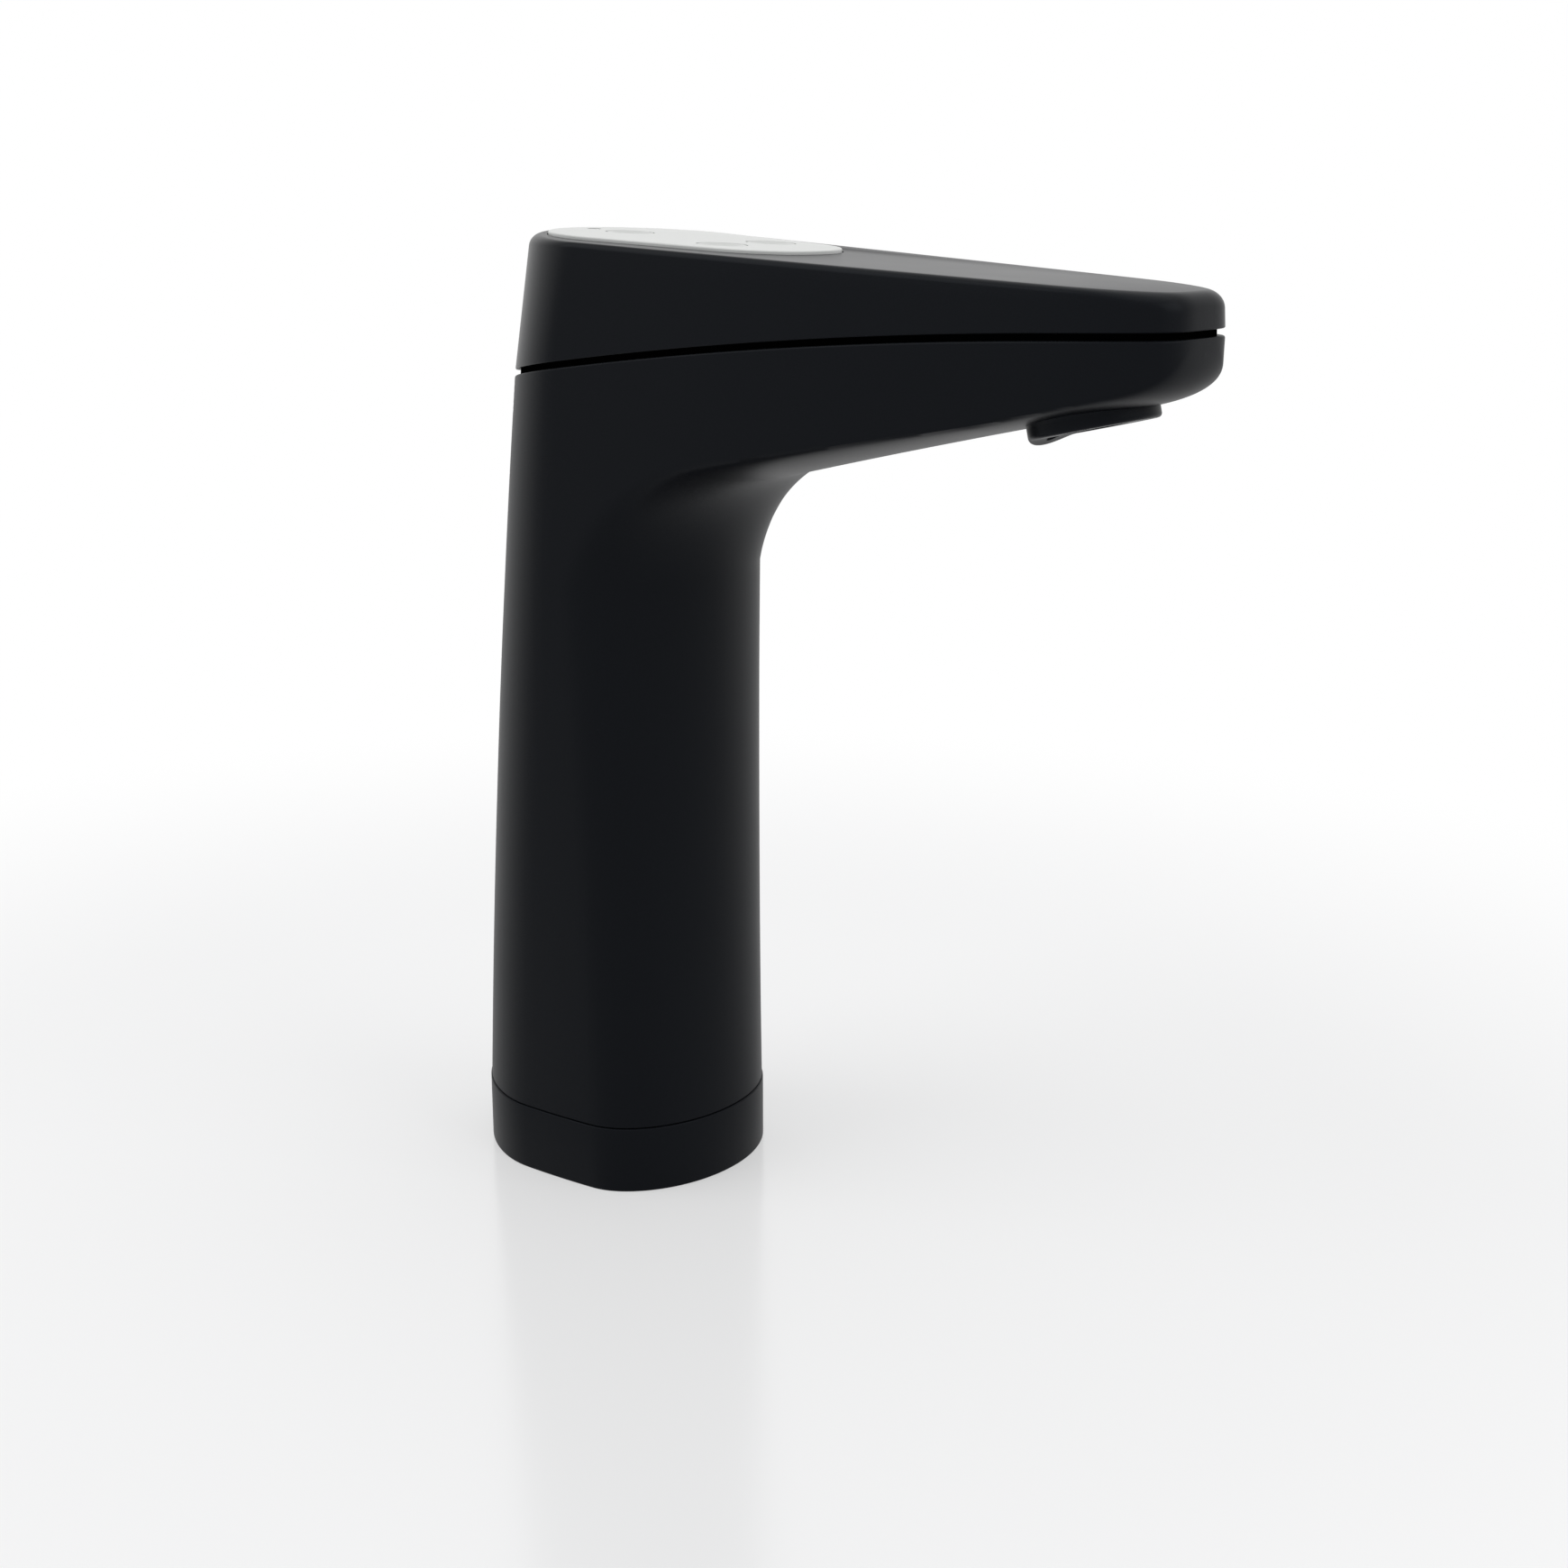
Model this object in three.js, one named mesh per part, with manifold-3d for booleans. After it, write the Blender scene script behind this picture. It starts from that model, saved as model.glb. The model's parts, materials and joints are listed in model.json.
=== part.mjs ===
// Boiling water tap: a fixed column with a reaching arm, a wedge-shaped head with three push
// buttons, and the water and electric parts inside. Millimetres. The bench is z = 0, +X runs
// from the column towards the outlet and +Z is up. Every shell is symmetric about y = 0.
import * as THREE from "three";
import { mergeVertices } from "three/addons/utils/BufferGeometryUtils.js";
import Module from "manifold-3d";

// ---------------------------------------------------------------- driving dimensions
const GAP = 0.3;                  // between pieces that meet, and around a loosely seated piece

// Base ring and foot of the column
const BASE_LENGTH = 80;
const BASE_HALF_WIDTH_BACK = 31.8;
const BASE_HALF_WIDTH_FRONT = 28.7;
const BASE_SIDE_BULGE = 3.3;
const BASE_BACK_ROUND = 36;       // length of the rounded back end
const BASE_BACK_POWER = 1.8;      // 2 is an ellipse, more is squarer
const BASE_FRONT_ROUND = 20.6;
const BASE_FRONT_POWER = 2.06;
const RING_HEIGHT = 18;
const RING_WALL = 4;
const RING_PROUD = 0.3;
const RING_EDGE = 0.6;
const SEAM = 0.35;                // shadow line between ring and column

// Head outline, measured at the groove
const HEAD_BACK = -21.9;
const HEAD_TIP = 174;
const HEAD_HALF_WIDTH_BACK = 42.9;
const HEAD_HALF_WIDTH_TIP = 18.9;
const HEAD_BACK_ROUND = 39.1;
const HEAD_BACK_POWER = 1.47;
const HEAD_TIP_ROUND = 44.8;
const HEAD_TIP_POWER = 3.94;

// Groove between the column casting and the head cover
const GROOVE_BACK_DEPTH = 36.5;   // below the level of the head's top
const GROOVE_TIP_DEPTH = 18.4;
const GROOVE_BOW = 4;
const GROOVE_HEIGHT = 1.6;
const GROOVE_DEPTH = 1.6;

// Top face of the head: a plane that falls towards the tip
const TOP_Z = 248.6;              // at x = 0
const TOP_SLOPE = 0.0562;
const TOP_END_EDGE = 3.7;         // rounding of the top edge at the back and the tip
const TOP_SIDE_EDGE = 1.4;        // and along the sides
const TOP_EDGE_BACK_REACH = 45;   // how far from the back the edge keeps changing
const TOP_EDGE_TIP_REACH = 22;
const SIDE_DRAFT = 0.1;           // how far the cover's side leans in for each mm of height
const BACK_DRAFT = 0.129;
const TIP_DRAFT = 0.046;

// Column and arm
const BODY_WALL = 3;
const BACK_BULGE = 1.9;
const WAIST = 1.7;
const COLUMN_FRONT_LEAN = 1.5;
const FILLET_DEPTH = 84.65;       // from the level of the top to where the front turns into the arm
const FILLET_RADIUS = 27.8;
const FILLET_EDGE_POWER = 1.57;   // how fast the front's round edges narrow along the fillet
const ARM_SLOPE = 0.248;
const ARM_DROOP = 1.8;            // how far the underside falls below its slope 100 mm out
const ARM_EDGE_START = 6.2;       // round lower edge of the arm, where it leaves the fillet
const ARM_EDGE_OUTLET = 2.4;      // behind the outlet
const ARM_EDGE_TIP = 3.2;         // near the tip
const ARM_EDGE_POWER = 1.9;
const ARM_TIP_ROUND = 19.6;
const ARM_TIP_POWER = 4.2;

// Head cover and control panel
const COVER_WALL = 2.5;
const COVER_ROOF = 3;
const PANEL_BACK_MARGIN = 8.6;    // from the top outline in to the panel's back end
const PANEL_SIDE_MARGIN = [8, 11.5];   // at the panel's back and front ends
const PANEL_FRONT = 71;
const PANEL_BACK_ROUND = 28;
const PANEL_FRONT_ROUND = 17;
const PANEL_FRONT_POWER = 2.3;
const PANEL_BACK_POWER = 1.9;
const PANEL_THICKNESS = 2;
const PANEL_PROUD = 0.8;
const PAD_THICKNESS = 0.8;
const PAD_WIDTH = 3;
const FLOOR_THICKNESS = 2.8;      // of the cover below the panel pad
const FLOOR_MARGIN = 2;           // the floor runs this far past the panel

// Buttons, measured along the tilted top face
const BUTTON_RADIUS = 6;
const BUTTON_TRAVEL = 0.8;
const BUTTON_DISH = 1;
const BUTTON_EDGE = 0.4;
const BUTTON_FLANGE = 1.3;
const BUTTON_FLANGE_THICKNESS = 1;
const BUTTON_STEM_RADIUS = 2;
const BUTTON_STEM_LENGTH = 5.2;
const BACK_BUTTON_X = 9.5;
const FRONT_BUTTON_X = 48;
const FRONT_BUTTON_Y = 9.2;
const SPRING_RADIUS = 5.3;
const SPRING_WIRE = 0.4;
const SPRING_TURN_COUNT = 4;
const LENS_RADIUS = 1.5;
const LENS_FLANGE = 0.9;
const LENS_PLACE = [-3, 0];

// Switch board, hung from posts under the cover's floor
const BOARD_BACK = -5;
const BOARD_FRONT = 66;
const BOARD_HALF_WIDTH = 14.5;
const BOARD_THICKNESS = 1.6;
const SWITCH_SIZE = 6;
const SWITCH_BODY_HEIGHT = 3.4;
const SWITCH_TIP_RADIUS = 1.7;
const SWITCH_TIP_HEIGHT = 0.8;
const LED_SIZE = 3;
const LED_HEIGHT = 1.2;
const BOARD_SCREW_RADIUS = 1.2;
const BOARD_SCREW_LENGTH = 9;
const BOARD_POST_RADIUS = 3;
const BOARD_POST_BACK = [0, 11];
const BOARD_POST_FRONT = [61, 8];

// Head frame, and the screws that hold it and the cover
const FRAME_RIM = 13;             // width of the frame, from the outline of the groove
const FRAME_LIP_WIDTH = 1.5;
const FRAME_LIP_HEIGHT = 3;
const FRAME_BAR_X = 28;
const FRAME_BAR_WIDTH = 11;
const FRAME_SCREW_BACK = [5, 23];
const FRAME_SCREW_FRONT = [104, 19];
const FRAME_SCREW_RADIUS = 1.5;
const FRAME_SCREW_LENGTH = 8;
const LUG_WIDTH = 9;
const FRAME_LUG_HEIGHT = 9;
const COVER_SCREW_Y = 19;
const COVER_SCREW_RADIUS = 1.5;
const COVER_SCREW_LENGTH = 28;
const COVER_POST_RADIUS = 4.2;
const COVER_NUT_HEIGHT = 6;

// Screws that hold the column to its base plate
const BASE_SCREW_FRONT = [22.5, 15.5];
const BASE_SCREW_BACK = [-19, 12.5];
const BASE_SCREW_RADIUS = 2;
const BASE_SCREW_LENGTH = 26;
const BASE_LUG_HEIGHT = 20;

// Base plate, its sockets and its seal
const PLATE_THICKNESS = 16;
const SPIGOT_WALL = 3;
const SPIGOT_FLANGE = 3;
const SEAL_WIDTH = 3.4;
const SEAL_HEIGHT = 1.7;
const SOCKET_RADIUS = 4.6;
const SOCKET_DEPTH = 8;
const STUD_RADIUS = 4.2;
const STUD_DEPTH = 12;
const STUD_X = 13;
const STUD_Y = 13;

// Water tubes
const TUBE_RADIUS = 3.5;
const TUBE_BORE = 2.6;
const TUBE_X = -8;
const TUBE_PITCH = 10.5;
const TUBE_SEAT = 6;              // how deep a tube sits in the base plate
const TUBE_BEND = 40;
const TUBE_SLOPE = 0.2;           // along the arm
const CLIP_HEIGHT = 8;
const CLIP_BACK = 7;
const CLIP_FRONT = 2.5;
const CLIP_SHARES = [0.3, 0.72];  // of a tube's upright run

// Control cable, with a socket in the base plate and a plug under the switch board
const CABLE_RADIUS = 2;
const CABLE_RISE = 40;            // straight run above the base plate
const CABLE_BEND = [[-26.5, -50], [-18.5, -22], [-15, -9], [-11, -2.5], [-4, 0]];   // from its end
const CONNECTOR_SIZE = [10, 12];
const CONNECTOR_BACK = 15;        // from the back of the base to the middle of the socket
const CONNECTOR_MOUTH = 9;        // depth of the mouth
const CONNECTOR_WALL = 1.5;
const PLUG_SIZE = [9, 10, 6];
const PLUG_X = 14;

// Outlet, in a frame tilted with the outlet's face
const OUTLET_X = 147.8;
const OUTLET_DROP = 2.75;         // centre of the face below the arm's underside
const OUTLET_TILT = 0.235;
const BOSS_RADIUS = 14.85;
const BOSS_EDGE = 1;
const BOSS_FLARE = 3;
const BOSS_HEIGHT = 9;
const HEEL_DROP = 1.7;            // how far the boss's back rim hangs below its face
const HEEL_LENGTH = 4;
const HEEL_POWER = 1.3;
const NOZZLE_RADIUS = 7;
const NOZZLE_RECESS = 0.8;
const NOZZLE_MOUTH = 6;
const NOZZLE_THROAT = 4.4;
const STRAIGHTENER_RECESS = 1.2;
const STRAIGHTENER_THICKNESS = 3;
const STRAIGHTENER_HOLE = 1.2;
const STRAIGHTENER_PITCH = 3.4;
const VENT_NOZZLE_RADIUS = 1.9;
const VENT_NOZZLE_BORE = 1.1;
const VENT_NOZZLE_BACK = 10.3;    // from the outlet axis
const ORING_RADIUS = 5.9;
const ORING_WIRE = 0.65;
const BLOCK_BACK = 19;            // from the outlet axis back to the tubes' side
const BLOCK_FRONT = 11;
const BLOCK_HALF_WIDTH = 15.2;
const BLOCK_HEIGHT = 8;
const CHAMBER = [9, 21, 3];
const BLOCK_SCREW_RADIUS = 1.3;
const BLOCK_SCREW_LENGTH = 9;
const BLOCK_SCREW_SEAT = 3;       // from the block's foot up to the head
const BLOCK_SCREW_PLACE = [7, 11];

// Mesh density
const OUTLINE_STEPS = 22;
const INNER_STEPS = 14;           // outlines and sections that don't show
const SECTION_STEPS = 11;
const ROUND_SIDES = 16;
const SMALL_SIDES = 12;
const BUTTON_SIDES = 24;
const TUBE_STEPS = 26;
const SPRING_STEPS = 36;
const CABLE_STEPS = 32;

// ---------------------------------------------------------------- solids
const wasm = await Module();
wasm.setup();

// Closed geometry to solid: corners are merged, collapsed triangles go, faces point out
function solid(geometry) {
  const bare = geometry.clone();
  bare.deleteAttribute("normal");
  bare.deleteAttribute("uv");
  const welded = mergeVertices(bare, 1e-4);
  const corners = welded.attributes.position.array;
  const triangles = [];
  let volume = 0;
  for (let i = 0; i < welded.index.count; i += 3) {
    const [a, b, c] = [0, 1, 2].map((k) => welded.index.getX(i + k));
    if (a === b || b === c || c === a) continue;
    triangles.push(a, b, c);
    const [p, q, r] = [a, b, c].map((k) => new THREE.Vector3().fromArray(corners, 3 * k));
    volume += p.dot(q.cross(r));
  }
  if (volume < 0) triangles.reverse();
  return new wasm.Manifold(new wasm.Mesh({
    numProp: 3,
    vertProperties: new Float32Array(corners),
    triVerts: new Uint32Array(triangles),
  }));
}

function geometryOf(shape) {
  const mesh = shape.getMesh();
  const geometry = new THREE.BufferGeometry();
  geometry.setAttribute("position", new THREE.BufferAttribute(new Float32Array(mesh.vertProperties), 3));
  geometry.setIndex(new THREE.BufferAttribute(new Uint32Array(mesh.triVerts), 1));
  geometry.computeVertexNormals();
  return geometry;
}

const join = (first, ...others) => others.reduce((all, next) => all.add(next), first);
const cut = (first, ...others) => others.reduce((all, next) => all.subtract(next), first);

function moved(shape, matrix) {
  return solid(geometryOf(shape).applyMatrix4(matrix));
}

// Upright cylinder between two heights
function cylinder(radius, low, high, x = 0, y = 0, sides = ROUND_SIDES) {
  const geometry = new THREE.CylinderGeometry(radius, radius, high - low, sides);
  geometry.rotateX(Math.PI / 2);
  geometry.translate(x, y, (low + high) / 2);
  return solid(geometry);
}

function box(sizeX, sizeY, low, high, x = 0, y = 0) {
  const geometry = new THREE.BoxGeometry(sizeX, sizeY, high - low);
  geometry.translate(x, y, (low + high) / 2);
  return solid(geometry);
}

// Turned piece: profile points are [radius, z]
function turned(profile, sides = ROUND_SIDES) {
  const geometry = new THREE.LatheGeometry(profile.map(([r, z]) => new THREE.Vector2(r, z)), sides);
  geometry.rotateX(Math.PI / 2);
  return solid(geometry);
}

// Shell symmetric about y = 0 from half rings of {x, z, w}: each ring runs down the near side
// (y = -w) and back along the far side (y = w), and both end rings are closed across.
function loft(halfRings) {
  const count = halfRings[0].length;
  const positions = [];
  for (const ring of halfRings) {
    for (const side of [-1, 1]) {
      for (const { x, z, w } of ring) positions.push(x, side * w, z);
    }
  }
  const near = (k, i) => k * 2 * count + i;
  const far = (k, i) => near(k, i) + count;
  const index = [];
  const quad = (a, b, c, d) => index.push(a, b, c, a, c, d);
  for (let k = 0; k + 1 < halfRings.length; k++) {
    for (let i = 0; i + 1 < count; i++) {
      quad(near(k, i), near(k, i + 1), near(k + 1, i + 1), near(k + 1, i));
      quad(far(k, i + 1), far(k, i), far(k + 1, i), far(k + 1, i + 1));
    }
    quad(far(k, 0), near(k, 0), near(k + 1, 0), far(k + 1, 0));
    quad(near(k, count - 1), far(k, count - 1), far(k + 1, count - 1), near(k + 1, count - 1));
  }
  const last = halfRings.length - 1;
  for (let i = 0; i + 1 < count; i++) {
    quad(near(0, i + 1), near(0, i), far(0, i), far(0, i + 1));
    quad(near(last, i), near(last, i + 1), far(last, i + 1), far(last, i));
  }
  const geometry = new THREE.BufferGeometry();
  geometry.setAttribute("position", new THREE.Float32BufferAttribute(positions, 3));
  geometry.setIndex(index);
  return solid(geometry);
}

// ---------------------------------------------------------------- outlines
const { lerp, clamp, smoothstep } = THREE.MathUtils;
const hump = (s) => 4 * s * (1 - s);

// Width factor of a rounded end: 0 at the end itself, 1 from `length` inwards
function roundedEnd(inside, length, power) {
  const t = clamp(1 - inside / length, 0, 1);
  return Math.pow(1 - Math.pow(t, power), 1 / power);
}

// Places along a rounded outline, closer together towards both ends
function endSpaced(count) {
  return Array.from({ length: count + 1 }, (_, i) => (1 - Math.cos((Math.PI * i) / count)) / 2);
}

function grooveZ(x) {
  const s = (x - HEAD_BACK) / (HEAD_TIP - HEAD_BACK);
  return TOP_Z - lerp(GROOVE_BACK_DEPTH, GROOVE_TIP_DEPTH, s) + GROOVE_BOW * hump(s);
}

const topZ = (x) => TOP_Z - TOP_SLOPE * x;
const BASE_END = BASE_LENGTH / 2;

function baseSide(x) {
  const s = clamp((x + BASE_END) / BASE_LENGTH, 0, 1);
  const taper = (HEAD_HALF_WIDTH_BACK - HEAD_HALF_WIDTH_TIP) / (HEAD_TIP - HEAD_BACK);
  const beyond = Math.max(x - BASE_END, 0);
  const straight = lerp(BASE_HALF_WIDTH_BACK, BASE_HALF_WIDTH_FRONT, s) - taper * beyond;
  return straight + BASE_SIDE_BULGE * hump(s);
}

function headSide(x) {
  return lerp(HEAD_HALF_WIDTH_BACK, HEAD_HALF_WIDTH_TIP, (x - HEAD_BACK) / (HEAD_TIP - HEAD_BACK));
}

// Half ring of the base outline at height z, pulled in by `inset`
function baseRing(z, inset) {
  const end = BASE_END - inset;
  return endSpaced(OUTLINE_STEPS).map((s) => {
    const x = lerp(-end, end, s);
    const back = roundedEnd(x + end, BASE_BACK_ROUND - inset, BASE_BACK_POWER);
    const front = roundedEnd(end - x, BASE_FRONT_ROUND - inset, BASE_FRONT_POWER);
    return { x, z, w: (baseSide(x) - inset) * back * front };
  });
}

const basePrism = (low, high, inset) => loft([baseRing(low, inset), baseRing(high, inset)]);

// Half ring of the head outline. zOf gives the height of a place x along the head; above the
// groove the outline leans in with the draft. The sides may have an inset of their own.
function headRing(zOf, inset, steps = OUTLINE_STEPS, sideInset = () => inset) {
  const leanAt = (x) => Math.max(zOf(x) - grooveZ(x), 0);
  const back = HEAD_BACK + BACK_DRAFT * leanAt(HEAD_BACK) + inset;
  const tip = HEAD_TIP - TIP_DRAFT * leanAt(HEAD_TIP) - inset;
  return endSpaced(steps).map((s) => {
    const x = lerp(back, tip, s);
    const side = headSide(lerp(HEAD_BACK, HEAD_TIP, s)) - SIDE_DRAFT * leanAt(x) - sideInset(x);
    const ends = roundedEnd(x - back, HEAD_BACK_ROUND - inset, HEAD_BACK_POWER)
      * roundedEnd(tip - x, HEAD_TIP_ROUND - inset, HEAD_TIP_POWER);
    return { x, z: zOf(x), w: side * ends };
  });
}

// Half ring of the panel outline at the heights zOf
function panelRing(zOf, inset, steps = OUTLINE_STEPS) {
  const topBack = HEAD_BACK + BACK_DRAFT * (topZ(HEAD_BACK) - grooveZ(HEAD_BACK));
  const back = topBack + PANEL_BACK_MARGIN + inset;
  const front = PANEL_FRONT - inset;
  return endSpaced(steps).map((s) => {
    const x = lerp(back, front, s);
    const margin = lerp(...PANEL_SIDE_MARGIN, s) + inset;
    const side = headSide(x) - SIDE_DRAFT * (topZ(x) - grooveZ(x)) - margin;
    const ends = roundedEnd(x - back, PANEL_BACK_ROUND - inset, PANEL_BACK_POWER)
      * roundedEnd(front - x, PANEL_FRONT_ROUND - inset, PANEL_FRONT_POWER);
    return { x, z: zOf(x), w: side * ends };
  });
}

// ---------------------------------------------------------------- column and arm sections
// The casting is cut by lines that fan round the inside corner, from its front or underside to
// its back or to the groove. A line's points get the half width of the wall at their height,
// narrowed near the front or underside so that the edge there is round.
const BODY_FOOT_Z = RING_HEIGHT + SEAM;
const FILLET_START_Z = TOP_Z - FILLET_DEPTH;

function heightShare(x, z) {
  return clamp((z - BODY_FOOT_Z) / (grooveZ(x) - BODY_FOOT_Z), 0, 1);
}

function backX(x, z) {
  const t = heightShare(x, z);
  return lerp(-BASE_END, HEAD_BACK, t) - BACK_BULGE * hump(t);
}

function wallHalfWidth(x, z, inset) {
  const t = heightShare(x, z);
  const side = lerp(baseSide(x), headSide(x), t) - WAIST * hump(t) - inset;
  const back = roundedEnd(
    x - backX(x, z) - inset,
    lerp(BASE_BACK_ROUND, HEAD_BACK_ROUND, t) - inset,
    lerp(BASE_BACK_POWER, HEAD_BACK_POWER, t),
  );
  const tip = roundedEnd(HEAD_TIP - inset - x, HEAD_TIP_ROUND - inset, HEAD_TIP_POWER);
  return side * back * tip;
}

const FILLET_X = BASE_END - COLUMN_FRONT_LEAN + FILLET_RADIUS;
const FILLET_END = Math.PI / 2 - Math.atan(ARM_SLOPE);
const FILLET_CORNER = Math.PI / 6;         // fillet angle that looks at the head's back corner
const ARM_START_X = FILLET_X - FILLET_RADIUS * Math.cos(FILLET_END);
const ARM_START_Z = FILLET_START_Z + FILLET_RADIUS * Math.sin(FILLET_END);
const ARM_START_GROOVE_X = ARM_START_X - ARM_SLOPE * (grooveZ(ARM_START_X) - ARM_START_Z);

function columnFrontX(z) {
  return BASE_END - (COLUMN_FRONT_LEAN * (z - BODY_FOOT_Z)) / (FILLET_START_Z - BODY_FOOT_Z);
}

function filletPoint(angle) {
  return [FILLET_X - FILLET_RADIUS * Math.cos(angle), FILLET_START_Z + FILLET_RADIUS * Math.sin(angle)];
}

function undersideZ(x) {
  const out = x - ARM_START_X;
  return ARM_START_Z + ARM_SLOPE * out - ARM_DROOP * (out / 100) ** 2;
}

function armPoint(x) {
  const s = clamp((x - HEAD_TIP + ARM_TIP_ROUND) / ARM_TIP_ROUND, 0, 1);
  const rise = 1 - Math.pow(1 - Math.pow(s, ARM_TIP_POWER), 1 / ARM_TIP_POWER);
  return [x, lerp(undersideZ(x), grooveZ(HEAD_TIP), rise)];
}

// Radius of the arm's lower edge: it narrows as far as the boss, and widens a little past it
function armEdge(x) {
  const bossBack = OUTLET_X - BOSS_RADIUS - BOSS_FLARE;
  const before = clamp((x - ARM_START_X) / (bossBack - ARM_START_X), 0, 1);
  const past = clamp((x - bossBack) / (2 * BOSS_RADIUS), 0, 1);
  return lerp(lerp(ARM_EDGE_START, ARM_EDGE_OUTLET, before), ARM_EDGE_TIP, past);
}

function backPoint(z) {
  let x = HEAD_BACK;
  for (let pass = 0; pass < 6; pass++) x = backX(x, z);
  return [x, z];
}

// Lines of the fan: {from: front or underside, to: back or groove, open, edge, power}
function fanLines() {
  const lines = [];
  const groovePoint = (x) => [x, grooveZ(x) - GROOVE_HEIGHT / 2];
  const spread = (count, first, make) => {
    for (let i = first; i <= count; i++) lines.push(make(i / count));
  };
  spread(8, 0, (s) => {
    const z = lerp(BODY_FOOT_Z, FILLET_START_Z, s);
    return {
      from: [columnFrontX(z), z], to: backPoint(z), open: false,
      edge: BASE_FRONT_ROUND, power: lerp(BASE_FRONT_POWER, ARM_EDGE_POWER, s),
    };
  });
  const edgeAt = (angle) => (
    lerp(ARM_EDGE_START, BASE_FRONT_ROUND, (1 - angle / FILLET_END) ** FILLET_EDGE_POWER)
  );
  spread(4, 1, (s) => {
    const angle = FILLET_CORNER * s;
    const z = lerp(FILLET_START_Z, groovePoint(HEAD_BACK)[1], s);
    const [from, to] = [filletPoint(angle), backPoint(z)];
    return { from, to, open: false, edge: edgeAt(angle), power: ARM_EDGE_POWER };
  });
  spread(7, 1, (s) => {
    const angle = lerp(FILLET_CORNER, FILLET_END, s);
    const to = groovePoint(lerp(HEAD_BACK, ARM_START_GROOVE_X, s));
    return { from: filletPoint(angle), to, open: true, edge: edgeAt(angle), power: ARM_EDGE_POWER };
  });
  spread(16, 1, (s) => {
    const along = Math.sin((s * Math.PI) / 2);
    const to = groovePoint(lerp(ARM_START_GROOVE_X, HEAD_TIP, along));
    const from = armPoint(lerp(ARM_START_X, HEAD_TIP, along));
    from[1] = Math.min(from[1], to[1]);
    return { from, to, open: true, edge: armEdge(from[0]), power: ARM_EDGE_POWER };
  });
  return lines;
}

// Half ring of one fan line, pulled in by `inset`; an open line may run on past the groove
function fanRing({ from, to, open, edge, power }, inset, beyond, steps) {
  const length = Math.hypot(to[0] - from[0], to[1] - from[1]);
  const [dx, dz] = length > 1e-6 ? [(to[0] - from[0]) / length, (to[1] - from[1]) / length] : [0, 1];
  const last = open ? length + beyond : length - inset;
  const round = Math.max(Math.min(edge, 0.9 * length) - inset, 0.3);
  return endSpaced(steps).map((s) => {
    const out = lerp(last, inset, s);
    const x = from[0] + dx * out;
    const z = from[1] + dz * out;
    return { x, z, w: Math.max(wallHalfWidth(x, z, inset), 0) * roundedEnd(out - inset, round, power) };
  });
}

const bodyOuter = () => loft(fanLines().map((line) => fanRing(line, 0, 0, SECTION_STEPS)));

// Hollow of the casting: open below and above, stopping short of the tip
function bodyHollow(inset) {
  const roomy = ({ from, to }) => Math.hypot(to[0] - from[0], to[1] - from[1]) > 3 * BODY_WALL;
  const lines = fanLines().filter(roomy).filter((_, i) => i % 2 === 0);
  const rings = lines.map((line) => fanRing(line, inset, 2 * GROOVE_HEIGHT, SECTION_STEPS - 2));
  const foot = rings[0].map((point) => ({ ...point, z: point.z - BODY_WALL }));
  return loft([foot, ...rings]);
}

// ---------------------------------------------------------------- shared frames
const topFrame = new THREE.Group();
topFrame.position.set(0, 0, TOP_Z);
topFrame.rotation.y = Math.atan(TOP_SLOPE);
topFrame.updateMatrix();

const outletFrame = new THREE.Group();
outletFrame.position.set(OUTLET_X, 0, undersideZ(OUTLET_X) - OUTLET_DROP);
outletFrame.rotation.y = -Math.atan(OUTLET_TILT);
outletFrame.updateMatrix();

// ---------------------------------------------------------------- materials and nodes
const finish = {
  satinBlack: { color: 0x1b1c1f, roughness: 0.5, metalness: 0.1 },
  linerBlack: { color: 0x0a0a0b, roughness: 0.8, metalness: 0 },
  silver: { color: 0xd8dad8, roughness: 0.35, metalness: 0.6 },
  foam: { color: 0x2a2a2a, roughness: 0.95, metalness: 0 },
  smokedLens: { color: 0x15161a, roughness: 0.15, metalness: 0 },
  brass: { color: 0xb5924c, roughness: 0.4, metalness: 0.9 },
  steel: { color: 0xb4b6b8, roughness: 0.35, metalness: 0.9 },
  rubber: { color: 0x161616, roughness: 0.85, metalness: 0 },
  board: { color: 0x1d5c38, roughness: 0.6, metalness: 0 },
  switchBlack: { color: 0x202124, roughness: 0.55, metalness: 0 },
  silicone: { color: 0xdedad0, roughness: 0.5, metalness: 0 },
  nylon: { color: 0xe9e7df, roughness: 0.55, metalness: 0 },
  cable: { color: 0x303236, roughness: 0.65, metalness: 0 },
};

const tap = new THREE.Group();
tap.add(topFrame, outletFrame);

function node(name, shape, look, parent = tap) {
  const mesh = new THREE.Mesh(geometryOf(shape), new THREE.MeshStandardMaterial(finish[look]));
  mesh.name = name;
  parent.add(mesh);
  return mesh;
}

// ---------------------------------------------------------------- fits shared by several pieces
const mirrored = (...places) => places.flatMap(([x, y]) => [[x, y], [x, -y]]);
const screwHeadRadius = (radius) => 1.8 * radius;
const screwHeadHeight = (radius) => 1.6 * radius;
const plateInset = RING_WALL + GAP;
const spigotFoot = PLATE_THICKNESS + GAP;
const bodyTop = (x) => grooveZ(x) - GROOVE_HEIGHT / 2;
const frameLow = (x) => bodyTop(x) + GAP;
const frameHigh = (x) => grooveZ(x) + GROOVE_HEIGHT / 2 - GAP;
const coverFoot = (x) => grooveZ(x) + GROOVE_HEIGHT / 2;

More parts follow.
